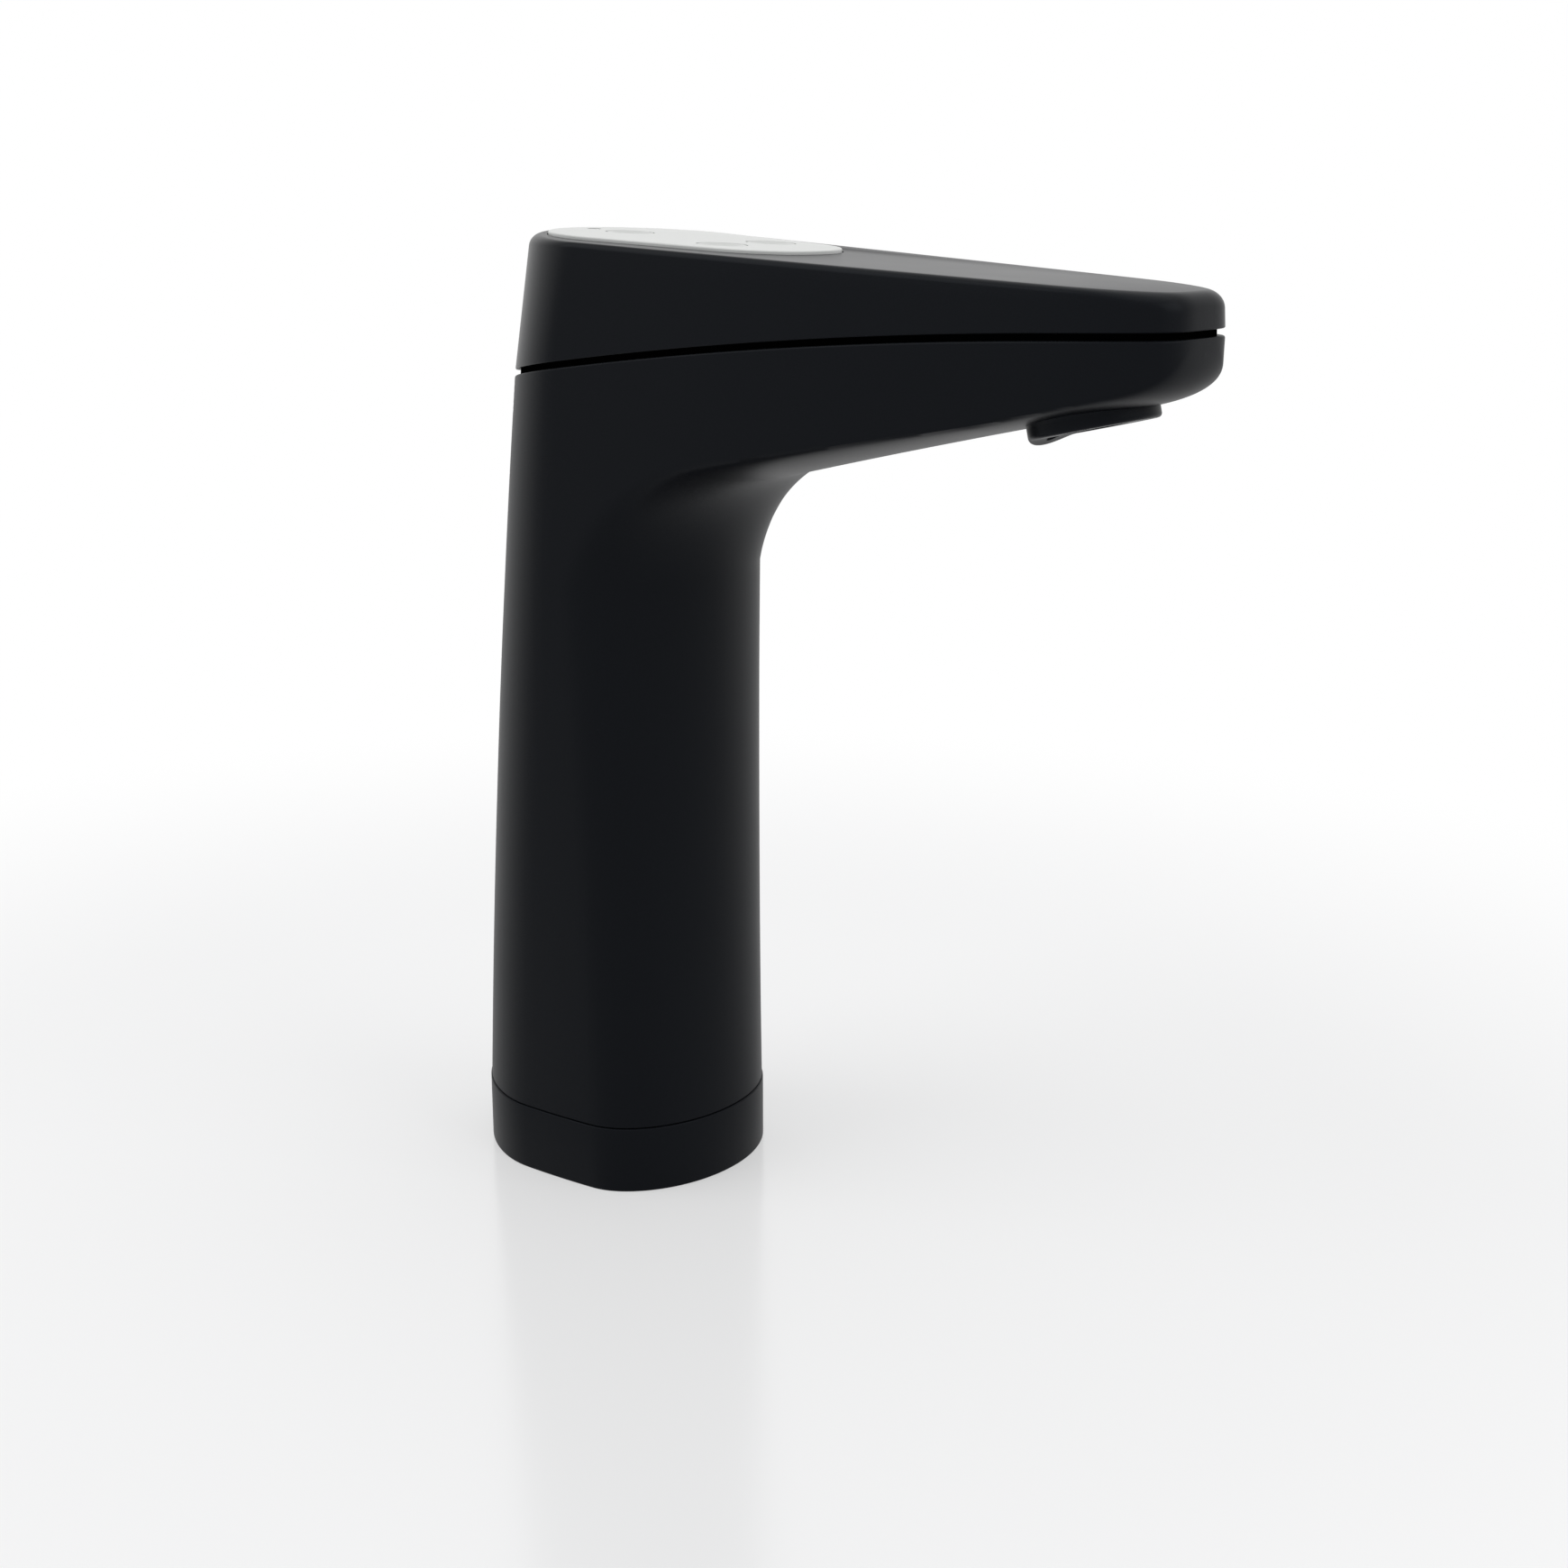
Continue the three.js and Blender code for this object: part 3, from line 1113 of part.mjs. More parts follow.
function outletNozzleShape() {
  const edge = GAP;
  return turned([
    [NOZZLE_MOUTH + edge, NOZZLE_RECESS],
    [NOZZLE_RADIUS - edge, NOZZLE_RECESS],
    [NOZZLE_RADIUS, NOZZLE_RECESS + edge],
    [NOZZLE_RADIUS, nozzleTop],
    [NOZZLE_THROAT, nozzleTop],
    [NOZZLE_THROAT, straightenerTop + GAP],
    [NOZZLE_MOUTH, straightenerTop + GAP],
    [NOZZLE_MOUTH, NOZZLE_RECESS + edge],
    [NOZZLE_MOUTH + edge, NOZZLE_RECESS],
  ], 2 * ROUND_SIDES);
}

function ventNozzleShape() {
  return turned([
    [VENT_NOZZLE_BORE, NOZZLE_RECESS],
    [VENT_NOZZLE_RADIUS, NOZZLE_RECESS],
    [VENT_NOZZLE_RADIUS, BOSS_HEIGHT],
    [VENT_NOZZLE_BORE, BOSS_HEIGHT],
    [VENT_NOZZLE_BORE, NOZZLE_RECESS],
  ]);
}

function straightenerShape() {
  const rings = [[0, 1], [STRAIGHTENER_PITCH, 6]];
  const holes = rings.flatMap(([radius, count]) => Array.from({ length: count }, (_, i) => {
    const angle = (2 * Math.PI * i) / count;
    const [x, y] = [radius * Math.cos(angle), radius * Math.sin(angle)];
    return cylinder(STRAIGHTENER_HOLE, straightenerFoot - 1, straightenerTop + 1, x, y, 6);
  }));
  return cut(cylinder(NOZZLE_MOUTH - GAP, straightenerFoot, straightenerTop, 0, 0, 24), ...holes);
}

function nozzleSealShape() {
  const geometry = new THREE.TorusGeometry(ORING_RADIUS, ORING_WIRE, 6, 24);
  geometry.translate(0, 0, (nozzleTop + blockLow) / 2);
  return solid(geometry);
}

node("outlet_block", outletBlockShape(), "nylon", outletFrame);
screws("block_screw", blockScrews, BLOCK_SCREW_RADIUS, BLOCK_SCREW_LENGTH, {
  seat: () => blockLow + BLOCK_SCREW_SEAT + GAP,
  down: true,
  parent: outletFrame,
});
node("outlet_nozzle", outletNozzleShape(), "steel", outletFrame);
node("vent_nozzle", ventNozzleShape(), "steel", outletFrame).position.set(-VENT_NOZZLE_BACK, 0, 0);
node("flow_straightener", straightenerShape(), "nylon", outletFrame);
node("nozzle_seal", nozzleSealShape(), "rubber", outletFrame);

export default tap;
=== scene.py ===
# %% [markdown]
# Boiling water tap, dressed for its picture
#
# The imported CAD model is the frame. It already stands in metres with its base on the worktop,
# so every surface made here uses the same sizes and lands where the CAD part has it. Each step
# says what the piece is on the real tap, how it could be made, and why it is made this way.

# %% Load the frame
from math import radians

import bmesh
import bpy
import numpy as np
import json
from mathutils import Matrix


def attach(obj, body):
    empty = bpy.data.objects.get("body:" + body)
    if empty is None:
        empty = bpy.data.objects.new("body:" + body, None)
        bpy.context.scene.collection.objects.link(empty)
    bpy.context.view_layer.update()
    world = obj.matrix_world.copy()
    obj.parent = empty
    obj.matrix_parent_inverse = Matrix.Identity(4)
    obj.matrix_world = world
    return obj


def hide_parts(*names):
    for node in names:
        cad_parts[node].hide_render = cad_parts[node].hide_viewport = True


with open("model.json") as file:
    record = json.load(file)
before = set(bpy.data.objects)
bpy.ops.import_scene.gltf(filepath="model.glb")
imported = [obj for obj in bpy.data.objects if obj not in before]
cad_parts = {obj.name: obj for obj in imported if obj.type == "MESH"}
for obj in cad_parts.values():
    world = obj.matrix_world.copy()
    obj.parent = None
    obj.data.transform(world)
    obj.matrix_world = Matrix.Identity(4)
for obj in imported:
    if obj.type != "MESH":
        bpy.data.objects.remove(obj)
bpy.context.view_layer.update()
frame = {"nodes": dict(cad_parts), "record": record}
scene = bpy.context.scene

# %% [markdown]
# The camera comes first, because every other choice is judged through it. It could be moved by
# eye, but a fit of the tap's known outline to the picture gives its place, direction and lens.

# %% Camera
CAMERA_DIP, CAMERA_TURN = 15.18, 39.0     # degrees below level, and to the left of +Y

camera_data = bpy.data.cameras.new("camera")
camera_data.lens = 51.08
camera_data.sensor_width = 36
camera = bpy.data.objects.new("camera", camera_data)
camera.location = (0.4050, -0.4265, 0.2615)
camera.rotation_euler = (radians(90 - CAMERA_DIP), 0, radians(CAMERA_TURN))
scene.collection.objects.link(camera)
scene.camera = camera
scene.view_settings.view_transform = "Standard"
print("camera", tuple(round(v, 4) for v in camera.location), "lens", camera_data.lens)

# %% [markdown]
# The tap is two soft shells whose outline changes all the way up, so no turned or extruded
# shape gives them. Both are symmetric about the plane y = 0, which makes one number enough
# for each point of their side view: how wide the tap is there. These are the sizes, in
# millimetres, and the curves that the widths are made from.

# %% Sizes shared by the shells
BASE_END = 40.0                   # half the base's length
BASE_HALF_BACK, BASE_HALF_FRONT = 31.8, 28.7
BASE_SWELL = 3.3                  # how far its sides bow out
BASE_TAPER = 0.1225               # of its sides, past the front
BASE_BACK_ROUND, BASE_BACK_POWER = 36.0, 1.8
BASE_FRONT_ROUND, BASE_FRONT_POWER = 20.6, 2.06
RING_TOP = 18.0
SEAM_Z = 18.35                    # foot of the column, above the base ring

HEAD_BACK, HEAD_TIP = -21.9, 174.0
HEAD_HALF_BACK, HEAD_HALF_TIP = 42.9, 18.9
HEAD_BACK_ROUND, HEAD_BACK_POWER = 39.1, 1.47
HEAD_TIP_ROUND, HEAD_TIP_POWER = 44.8, 3.94
SIDE_DRAFT, BACK_DRAFT, TIP_DRAFT = 0.1, 0.129, 0.046
GROOVE = 1.6                      # height of the dark groove under the head
GROOVE_BACK_Z, GROOVE_TIP_Z = 212.1, 230.2
GROOVE_BOW = 4.0
TOP_Z, TOP_SLOPE = 248.6, 0.0562
CLEARANCE = 0.3                   # round every piece that sits in a hole
print("base", 2 * BASE_END, "mm long, head", HEAD_TIP - HEAD_BACK, "mm long")


# %% Curves shared by the shells
def mix(a, b, t):
    """Straight mix of a and b: a at t = 0 and b at t = 1."""
    return a + (b - a) * t


def hump(s):
    """0 at both ends and 1 in the middle: 4 s (1 - s)."""
    return 4 * s * (1 - s)


def rounded_end(inside, length, power):
    """Width factor of a rounded end: (1 - t^power)^(1/power), where t falls from 1 at the end
    to 0 at `length` inside it. Power 2 is an ellipse and more is squarer."""
    t = np.clip(1 - inside / length, 0, 1)
    return (1 - t**power) ** (1 / power)


def end_spaced(count):
    """Numbers from 0 to 1, closer together towards both ends, as half a cosine wave gives."""
    return (1 - np.cos(np.linspace(0, np.pi, count + 1))) / 2


def groove_z(x):
    """Height of the middle of the groove: a straight rise with a bow of 4 mm."""
    s = (x - HEAD_BACK) / (HEAD_TIP - HEAD_BACK)
    return mix(GROOVE_BACK_Z, GROOVE_TIP_Z, s) + GROOVE_BOW * hump(s)


def top_z(x):
    """The head's top is a plane that falls 56.2 mm in each metre."""
    return TOP_Z - TOP_SLOPE * x


def base_side(x):
    """Half width of the base before its ends are rounded; past the front it tapers on."""
    s = np.clip((x + BASE_END) / (2 * BASE_END), 0, 1)
    bowed = mix(BASE_HALF_BACK, BASE_HALF_FRONT, s) + BASE_SWELL * hump(s)
    return bowed - BASE_TAPER * np.maximum(x - BASE_END, 0)


def head_side(x):
    """Half width of the head at the groove before its ends are rounded: a straight taper."""
    return mix(HEAD_HALF_BACK, HEAD_HALF_TIP, (x - HEAD_BACK) / (HEAD_TIP - HEAD_BACK))


print("groove heights:", [round(float(groove_z(x)), 1) for x in (HEAD_BACK, BASE_END, HEAD_TIP)])

# %% [markdown]
# Every shell is made of grids of points. A grid could be turned into a mesh face by face, but
# the corner numbers of all its faces come from one array sum, so there is no loop over
# points. Grids that share an edge are welded there, which closes the shell.

# %% Faces of a grid
def grid_faces(rows, columns, first):
    """Corner numbers of the faces between neighbouring rows and columns of a grid."""
    corner = first + np.arange(rows * columns).reshape(rows, columns)
    a, b, c, d = corner[:-1, :-1], corner[:-1, 1:], corner[1:, 1:], corner[1:, :-1]
    return np.stack([a, b, c, d], axis=-1).reshape(-1, 4)


print("a grid of 3 by 4 points has", len(grid_faces(3, 4, 0)), "faces")

# %% Grids to meshes
WELD = 0.004                      # points closer than this, in millimetres, become one
SHARP_FROM, SHARP_FROM_CUT = 38, 35    # degrees between faces, as made and after a cut


def shade(mesh, sharp_from):
    """Smooth shading, with edges sharper than an angle in degrees kept sharp."""
    mesh.shade_smooth()
    mesh.set_sharp_from_angle(angle=radians(sharp_from))


def shell(name, grids, body="tap"):
    """One object from several grids of points in millimetres, welded where they meet."""
    points, faces, first = [], [], 0
    for grid in grids:
        rows, columns, _ = grid.shape
        points.append(grid.reshape(-1, 3))
        faces.append(grid_faces(rows, columns, first))
        first += rows * columns
    mesh = bpy.data.meshes.new(name)
    mesh.from_pydata(np.concatenate(points) / 1000, [], np.concatenate(faces).tolist())
    work = bmesh.new()
    work.from_mesh(mesh)
    bmesh.ops.remove_doubles(work, verts=work.verts, dist=WELD / 1000)
    bmesh.ops.dissolve_degenerate(work, edges=work.edges, dist=WELD / 2000)
    bmesh.ops.recalc_face_normals(work, faces=work.faces)
    if work.calc_volume(signed=True) < 0:
        bmesh.ops.reverse_faces(work, faces=work.faces)
    open_edges = sum(len(edge.link_faces) != 2 for edge in work.edges)
    work.to_mesh(mesh)
    work.free()
    shade(mesh, SHARP_FROM)
    piece = bpy.data.objects.new(name, mesh)
    scene.collection.objects.link(piece)
    print(name, len(mesh.polygons), "faces, open edges:", open_edges)
    if body:
        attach(piece, body)
    return piece


print("points closer than", WELD, "mm are welded")

# %% Rings and the flat grids that close them
STEPS_ACROSS = 8


def whole_ring(x, width, z):
    """Half an outline made whole: along the near side from back to tip, and back along the
    far side to where it began."""
    near = np.stack([x, -width, z], axis=-1)
    far = np.stack([x, width, z], axis=-1)[::-1]
    return np.concatenate([near, far[1:]])


def closed_across(ring):
    """Flat grid that closes a whole ring: each near point is joined to its far partner."""
    half = (len(ring) + 1) // 2
    near, far = ring[:half], ring[half - 1 :][::-1]
    return np.stack([mix(near, far, t) for t in np.linspace(0, 1, STEPS_ACROSS + 1)])


print("a flat grid has", STEPS_ACROSS, "steps across")

# %% [markdown]
# The column casting is the hard piece: a column that turns through an inside corner into an
# arm, with a round edge below and a sharp one at the groove. It could be sculpted, or lofted
# from level sections, but level sections fail where the arm leaves the column. So the side
# view is cut by lines that fan round the inside corner, from the front or underside to the
# back or the groove, and each line carries one ring of the skin.

# %% Sizes of the column's side view
BACK_BULGE, WAIST = 1.9, 1.7
FRONT_LEAN = 1.5
FILLET_Z, FILLET_R = 163.95, 27.8
FILLET_X = BASE_END - FRONT_LEAN + FILLET_R
FILLET_CORNER = np.pi / 6         # the line at this angle ends at the back of the groove
ARM_SLOPE, ARM_DROOP = 0.248, 1.8
FILLET_END = np.pi / 2 - np.arctan(ARM_SLOPE)
ARM_X = FILLET_X - FILLET_R * np.cos(FILLET_END)
ARM_Z = FILLET_Z + FILLET_R * np.sin(FILLET_END)
ARM_TOP_X = ARM_X - ARM_SLOPE * (groove_z(ARM_X) - ARM_Z)
TIP_TURN, TIP_TURN_POWER = 19.6, 4.2
print("arm begins at x", round(float(ARM_X), 1), "z", round(float(ARM_Z), 1))


# %% Back and sides of the casting
def body_top(x):
    """Height of the casting's top edge, at the foot of the groove."""
    return groove_z(x) - GROOVE / 2


def height_share(x, z):
    """0 at the seam above the base and 1 at the groove."""
    return np.clip((z - SEAM_Z) / (groove_z(x) - SEAM_Z), 0, 1)


def bowed_back(t):
    """The back's place at a share of the height: a straight lean, bowed out by 1.9 mm."""
    return mix(-BASE_END, HEAD_BACK, t) - BACK_BULGE * hump(t)


def back_x(z):
    """The back's place at a height. The share depends on x too, so it is found in six turns."""
    x = np.full_like(z, HEAD_BACK)
    for _ in range(6):
        x = bowed_back(height_share(x, z))
    return x


def wall_half_width(x, z, inset):
    """Half width of the casting: base and head outlines mixed by height, with a slight waist."""
    t = height_share(x, z)
    side = mix(base_side(x), head_side(x), t) - WAIST * hump(t) - inset
    back_round = mix(BASE_BACK_ROUND, HEAD_BACK_ROUND, t) - inset
    back_power = mix(BASE_BACK_POWER, HEAD_BACK_POWER, t)
    back = rounded_end(x - bowed_back(t) - inset, back_round, back_power)
    tip = rounded_end(HEAD_TIP - inset - x, HEAD_TIP_ROUND - inset, HEAD_TIP_POWER)
    return np.maximum(side * back * tip, 0)


print("half width at the seam:", round(float(wall_half_width(0.0, SEAM_Z, 0.0)), 1), "mm")


# %% Front and underside of the casting
def column_front(z):
    """The column's front line, a straight line that leans back by 1.5 mm."""
    return BASE_END - FRONT_LEAN * (z - SEAM_Z) / (FILLET_Z - SEAM_Z)


def underside_z(x):
    """The arm's underside climbs at a slope of 0.248, and less so towards the tip: 1.8 mm is
    taken off 100 mm out, growing with the square of the distance."""
    out = x - ARM_X
    return ARM_Z + ARM_SLOPE * out - ARM_DROOP * (out / 100) ** 2


def arm_bottom_z(x):
    """The underside, turned up into the tip over its last 19.6 mm."""
    s = np.clip((x - HEAD_TIP + TIP_TURN) / TIP_TURN, 0, 1)
    rise = 1 - (1 - s**TIP_TURN_POWER) ** (1 / TIP_TURN_POWER)
    return mix(underside_z(x), groove_z(HEAD_TIP), rise)


print("underside rises to z", round(float(underside_z(HEAD_TIP)), 1), "mm at the tip")

# %% Round edges of the casting
OUTLET_X, BOSS_RADIUS, BOSS_FLARE = 147.8, 14.85, 3.0
BOSS_BACK = OUTLET_X - BOSS_RADIUS - BOSS_FLARE
EDGE_POWER = 1.9
FILLET_EDGE_POWER = 1.57
ARM_EDGE_START, ARM_EDGE_OUTLET, ARM_EDGE_TIP = 6.2, 2.4, 3.2


def fillet_edge(angle):
    """Size of the round edges along the fillet: from 20.6 mm on the column to 6.2 mm on the
    arm, by (1 - share of the fillet)^1.57."""
    left = (1 - angle / FILLET_END) ** FILLET_EDGE_POWER
    return mix(ARM_EDGE_START, BASE_FRONT_ROUND, left)


def arm_edge(x):
    """Size of the arm's round lower edge: it narrows from 6.2 to 2.4 mm as far as the outlet
    boss, and widens to 3.2 mm past it."""
    before = np.clip((x - ARM_X) / (BOSS_BACK - ARM_X), 0, 1)
    past = np.clip((x - BOSS_BACK) / (2 * BOSS_RADIUS), 0, 1)
    return mix(mix(ARM_EDGE_START, ARM_EDGE_OUTLET, before), ARM_EDGE_TIP, past)


print("arm's edge at the boss:", round(float(arm_edge(BOSS_BACK)), 2), "mm")

# %% The fan of section lines
COLUMN_LINES, CORNER_LINES, FILLET_LINES, ARM_LINES = 56, 14, 28, 90
CLOSED_LINES = COLUMN_LINES + CORNER_LINES    # these end on the back
NOSE_HEIGHT = 3.0                 # least height of the wall at the tip


def fan_lines(inset):
    """Start, end, edge radius and edge power of every line. The starts lie `inset` inside the
    front and underside, and the ends inside the back. At the tip the lines end three times as
    far inside, because the outline is nearly square there."""
    rows = []

    def add(start, end_x, end_z, edge, power):
        rows.append((*start, end_x, end_z, edge, power + 0 * end_x))

    def fillet(angle):
        radius = FILLET_R + inset
        return FILLET_X - radius * np.cos(angle), FILLET_Z + radius * np.sin(angle)

    s = np.linspace(0, 1, COLUMN_LINES)
    z = mix(SEAM_Z, FILLET_Z, s)
    power = mix(BASE_FRONT_POWER, EDGE_POWER, s)
    add((column_front(z) - inset, z), back_x(z) + inset, z, BASE_FRONT_ROUND + 0 * s, power)

    s = np.linspace(0, 1, CORNER_LINES + 1)[1:]
    angle = FILLET_CORNER * s
    z = mix(FILLET_Z, float(body_top(HEAD_BACK)), s)
    add(fillet(angle), back_x(z) + inset, z, fillet_edge(angle), EDGE_POWER)

    s = np.linspace(0, 1, FILLET_LINES + 1)[1:]
    angle = mix(FILLET_CORNER, FILLET_END, s)
    end_x = mix(HEAD_BACK + inset, ARM_TOP_X, s)
    add(fillet(angle), end_x, body_top(end_x), fillet_edge(angle), EDGE_POWER)

    s = np.sin(np.linspace(0, np.pi / 2, ARM_LINES + 1)[1:])
    tip = HEAD_TIP - 3 * inset
    x, end_x = mix(ARM_X, tip, s), mix(ARM_TOP_X, tip, s)
    z = np.minimum(arm_bottom_z(x) + inset, body_top(end_x) - NOSE_HEIGHT)
    add((x, z), end_x, body_top(end_x), arm_edge(x), EDGE_POWER)
    return [np.concatenate(column) for column in zip(*rows)]


print(CLOSED_LINES + FILLET_LINES + ARM_LINES, "lines in the fan")

# %% Rings along the fan
RIM_SHARES = np.array([0, 0.08, 0.25, 0.5, 0.75, 1.0])    # of the rounding at the groove
RING_POINTS = 40
RIM_LIMIT, EDGE_LIMIT = 0.25, 0.9    # most of a line that its two roundings may take
LEAST_EDGE = 0.3
CASTING_WALL, CASTING_RIM = 3.0, 0.5


def casting_sheet(inset, edge_round):
    """Rings along the fan as a grid of lines by points: half width times edge rounding, and a
    rounded top edge where the wall meets the groove. That last rounding fades over the last mm
    before the back and the tip, so that the sheet closes there in a single line."""
    x0, z0, x1, z1, edge, power = (column[:, None] for column in fan_lines(inset))
    length = np.hypot(x1 - x0, z1 - z0)
    short = np.minimum(1, RIM_LIMIT * length / max(edge_round, 1e-6))
    near_end = RIM_SHARES * edge_round * short
    rest = mix(near_end[:, -1:], length, end_spaced(RING_POINTS)[1:])
    out = np.concatenate([near_end, rest], axis=1)
    x, z = mix(x1, x0, out / length), mix(z1, z0, out / length)
    depth = np.clip(edge_round - (body_top(x) - z), 0, edge_round)
    turned_in = edge_round - np.sqrt(edge_round**2 - depth**2)
    turned_in = turned_in * np.clip(np.minimum(HEAD_TIP - x, x - back_x(z)), 0, 1)
    radius = np.maximum(np.minimum(edge, EDGE_LIMIT * length) - inset, LEAST_EDGE)
    width = wall_half_width(x, z, inset + turned_in) * rounded_end(length - out, radius, power)
    width[:CLOSED_LINES, 0] = 0
    width[:, -1] = 0
    near = np.stack([x, -width, z], axis=-1)
    far = np.stack([x, width, z], axis=-1)[:, ::-1]
    return np.concatenate([near, far[:, 1:]], axis=1)


outer = casting_sheet(0.0, CASTING_RIM)
print("casting rings:", outer.shape, "lines that end on the back:", CLOSED_LINES)

# %% Column shell
inner = casting_sheet(CASTING_WALL, 0.0)
first_open = CLOSED_LINES - 1
rim = np.stack([outer[first_open:, 0], inner[first_open:, 0]])
far_rim = np.stack([outer[first_open:, -1], inner[first_open:, -1]])
foot = np.stack([outer[0], inner[0]])
nose_wall = closed_across(inner[-1])
nose_rim = np.stack([nose_wall[:, 0], np.repeat(outer[-1:, 0], len(nose_wall), axis=0)])
column_shell = shell("column_shell", [outer, inner, rim, far_rim, foot, nose_wall, nose_rim])
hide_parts("column_body")

# %% [markdown]
# The base ring is a plain band round the foot, a hair prouder than the column, with a dark
# line where they meet. A bevelled extrusion would do, but its outline is the casting's own,
# so the same outline is carried round a small section instead.

# %% Base ring
RING_PROUD, RING_WALL, RING_EDGE = 0.3, 4.0, 0.45
RING_STEPS = 72                   # from back to front


def base_ring(z, inset):
    """Whole outline of the base at one height, pulled in by `inset`."""
    end = BASE_END - inset
    x = mix(-end, end, end_spaced(RING_STEPS))
    back = rounded_end(x + end, BASE_BACK_ROUND - inset, BASE_BACK_POWER)
    front = rounded_end(end - x, BASE_FRONT_ROUND - inset, BASE_FRONT_POWER)
    return whole_ring(x, (base_side(x) - inset) * back * front, np.full_like(x, z))


def rounded_section(corners, radius, steps=4):
    """Section of straight runs with rounded corners, as [inset, height] pairs: each corner is
    swept by a quadratic curve between two points `radius` away from it."""
    points = []
    corners = np.array(corners, float)
    for before, corner, after in zip(np.roll(corners, 1, 0), corners, np.roll(corners, -1, 0)):
        ends = []
        for other in (before, after):
            run = other - corner
            size = np.linalg.norm(run)
            ends.append(corner + run / size * min(radius, size / 2))
        for t in np.linspace(0, 1, steps + 1):
            points.append((1 - t) ** 2 * ends[0] + 2 * t * (1 - t) * corner + t**2 * ends[1])
    return points


ring_corners = [(-RING_PROUD, 0), (-RING_PROUD, RING_TOP), (RING_WALL, RING_TOP), (RING_WALL, 0)]
section = rounded_section(ring_corners, RING_EDGE)
skirt = np.stack([base_ring(z, inset) for inset, z in section + section[:1]])
base_skirt = shell("base_skirt", [skirt])
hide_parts("base_ring")

# %% [markdown]
# The holes for the buttons, the lens and the nozzles go straight through pieces that already
# curve. Their rims could be part of the outlines, but a Boolean with an exact round cutter
# keeps both shapes simple.

# %% Turned shapes
TOP_TILT = np.arctan(TOP_SLOPE)


def tilted(points, place, tilt, origin):
    """Turns points about Y by `tilt` after moving them to `place`, then puts them at origin."""
    x, y, z = points[..., 0] + place[0], points[..., 1] + place[1], points[..., 2]
    c, s = np.cos(tilt), np.sin(tilt)
    return np.stack([c * x + s * z + origin[0], y + origin[1], c * z - s * x + origin[2]], axis=-1)


def turned(profile, sides):
    """Grid of a profile of [radius, height] pairs carried once round the Z axis."""
    angle = np.linspace(0, 2 * np.pi, sides + 1)
    radius, height = np.array(profile, float).T
    x, y = radius[:, None] * np.cos(angle), radius[:, None] * np.sin(angle)
    return np.stack([x, y, np.broadcast_to(height[:, None], x.shape)], axis=-1)


def on_top(points, place):
    """Puts a shape made round the Z axis at a place on the tilted top."""
    return tilted(points, place, TOP_TILT, (0, 0, TOP_Z))


print("the top is tilted by", round(float(np.degrees(TOP_TILT)), 2), "degrees")

# %% Round cutters
ROUND_SIDES = 64


def bore(radius, low, high, sides=ROUND_SIDES):
    """Closed round cutter between two heights, which lie well outside the walls it cuts."""
    return turned([(0, low), (radius, low), (radius, high), (0, high)], sides)


def cut_out(piece, grids):
    """Takes round cutters out of a piece with the exact Boolean, and keeps the result."""
    cutters = []
    for k, grid in enumerate(grids):
        cutter = shell(f"{piece.name}_cutter_{k}", [grid], body=None)
        cutters.append(cutter)
        modifier = piece.modifiers.new(cutter.name, "BOOLEAN")
        modifier.operation = "DIFFERENCE"
        modifier.solver = "EXACT"
        modifier.object = cutter
    cut = piece.evaluated_get(bpy.context.evaluated_depsgraph_get())
    done = bpy.data.meshes.new_from_object(cut)
    piece.modifiers.clear()
    piece.data = done
    for cutter in cutters:
        bpy.data.objects.remove(cutter)
    shade(done, SHARP_FROM_CUT)
    print(piece.name, "after cutting:", len(done.polygons), "faces")


print("a cutter of", ROUND_SIDES, "sides has", len(bore(1, 0, 1)), "rows of points")

# %% [markdown]
# The head cover is a drafted lid: its walls lean in, its top is flat and tilted, and a well in
# the top takes the control panel. It could be a box model with bevels, but then its walls
# would not follow the groove. A stack of outlines from the groove upwards does both.

# %% Outlines of the head and the panel
OUTLINE_STEPS = 150
PANEL_BACK_MARGIN = 8.6
PANEL_SIDE_MARGINS = (8, 11.5)    # at the panel's back and front ends
PANEL_FRONT = 71.0
PANEL_BACK_ROUND, PANEL_BACK_POWER = 28, 1.9
PANEL_FRONT_ROUND, PANEL_FRONT_POWER = 17, 2.3


def head_ring(height_at, inset, side_inset=None):
    """Whole outline of the head at heights that depend on x. For each mm above the groove the
    sides lean in by 0.1, the back by 0.129 and the tip by 0.046. The sides may have an inset
    of their own, as a function of x."""
    lean_back = BACK_DRAFT * max(float(height_at(HEAD_BACK) - groove_z(HEAD_BACK)), 0)
    lean_tip = TIP_DRAFT * max(float(height_at(HEAD_TIP) - groove_z(HEAD_TIP)), 0)
    back = HEAD_BACK + lean_back + inset
    tip = HEAD_TIP - lean_tip - inset
    s = end_spaced(OUTLINE_STEPS)
    x = mix(back, tip, s)
    lean = SIDE_DRAFT * np.maximum(height_at(x) - groove_z(x), 0)
    side = head_side(mix(HEAD_BACK, HEAD_TIP, s)) - lean
    side = side - (side_inset(x) if side_inset else inset)
    back_end = rounded_end(x - back, HEAD_BACK_ROUND - inset, HEAD_BACK_POWER)
    tip_end = rounded_end(tip - x, HEAD_TIP_ROUND - inset, HEAD_TIP_POWER)
    return whole_ring(x, side * back_end * tip_end, height_at(x))


TOP_BACK = HEAD_BACK + BACK_DRAFT * float(top_z(HEAD_BACK) - groove_z(HEAD_BACK))
PANEL_BACK = TOP_BACK + PANEL_BACK_MARGIN


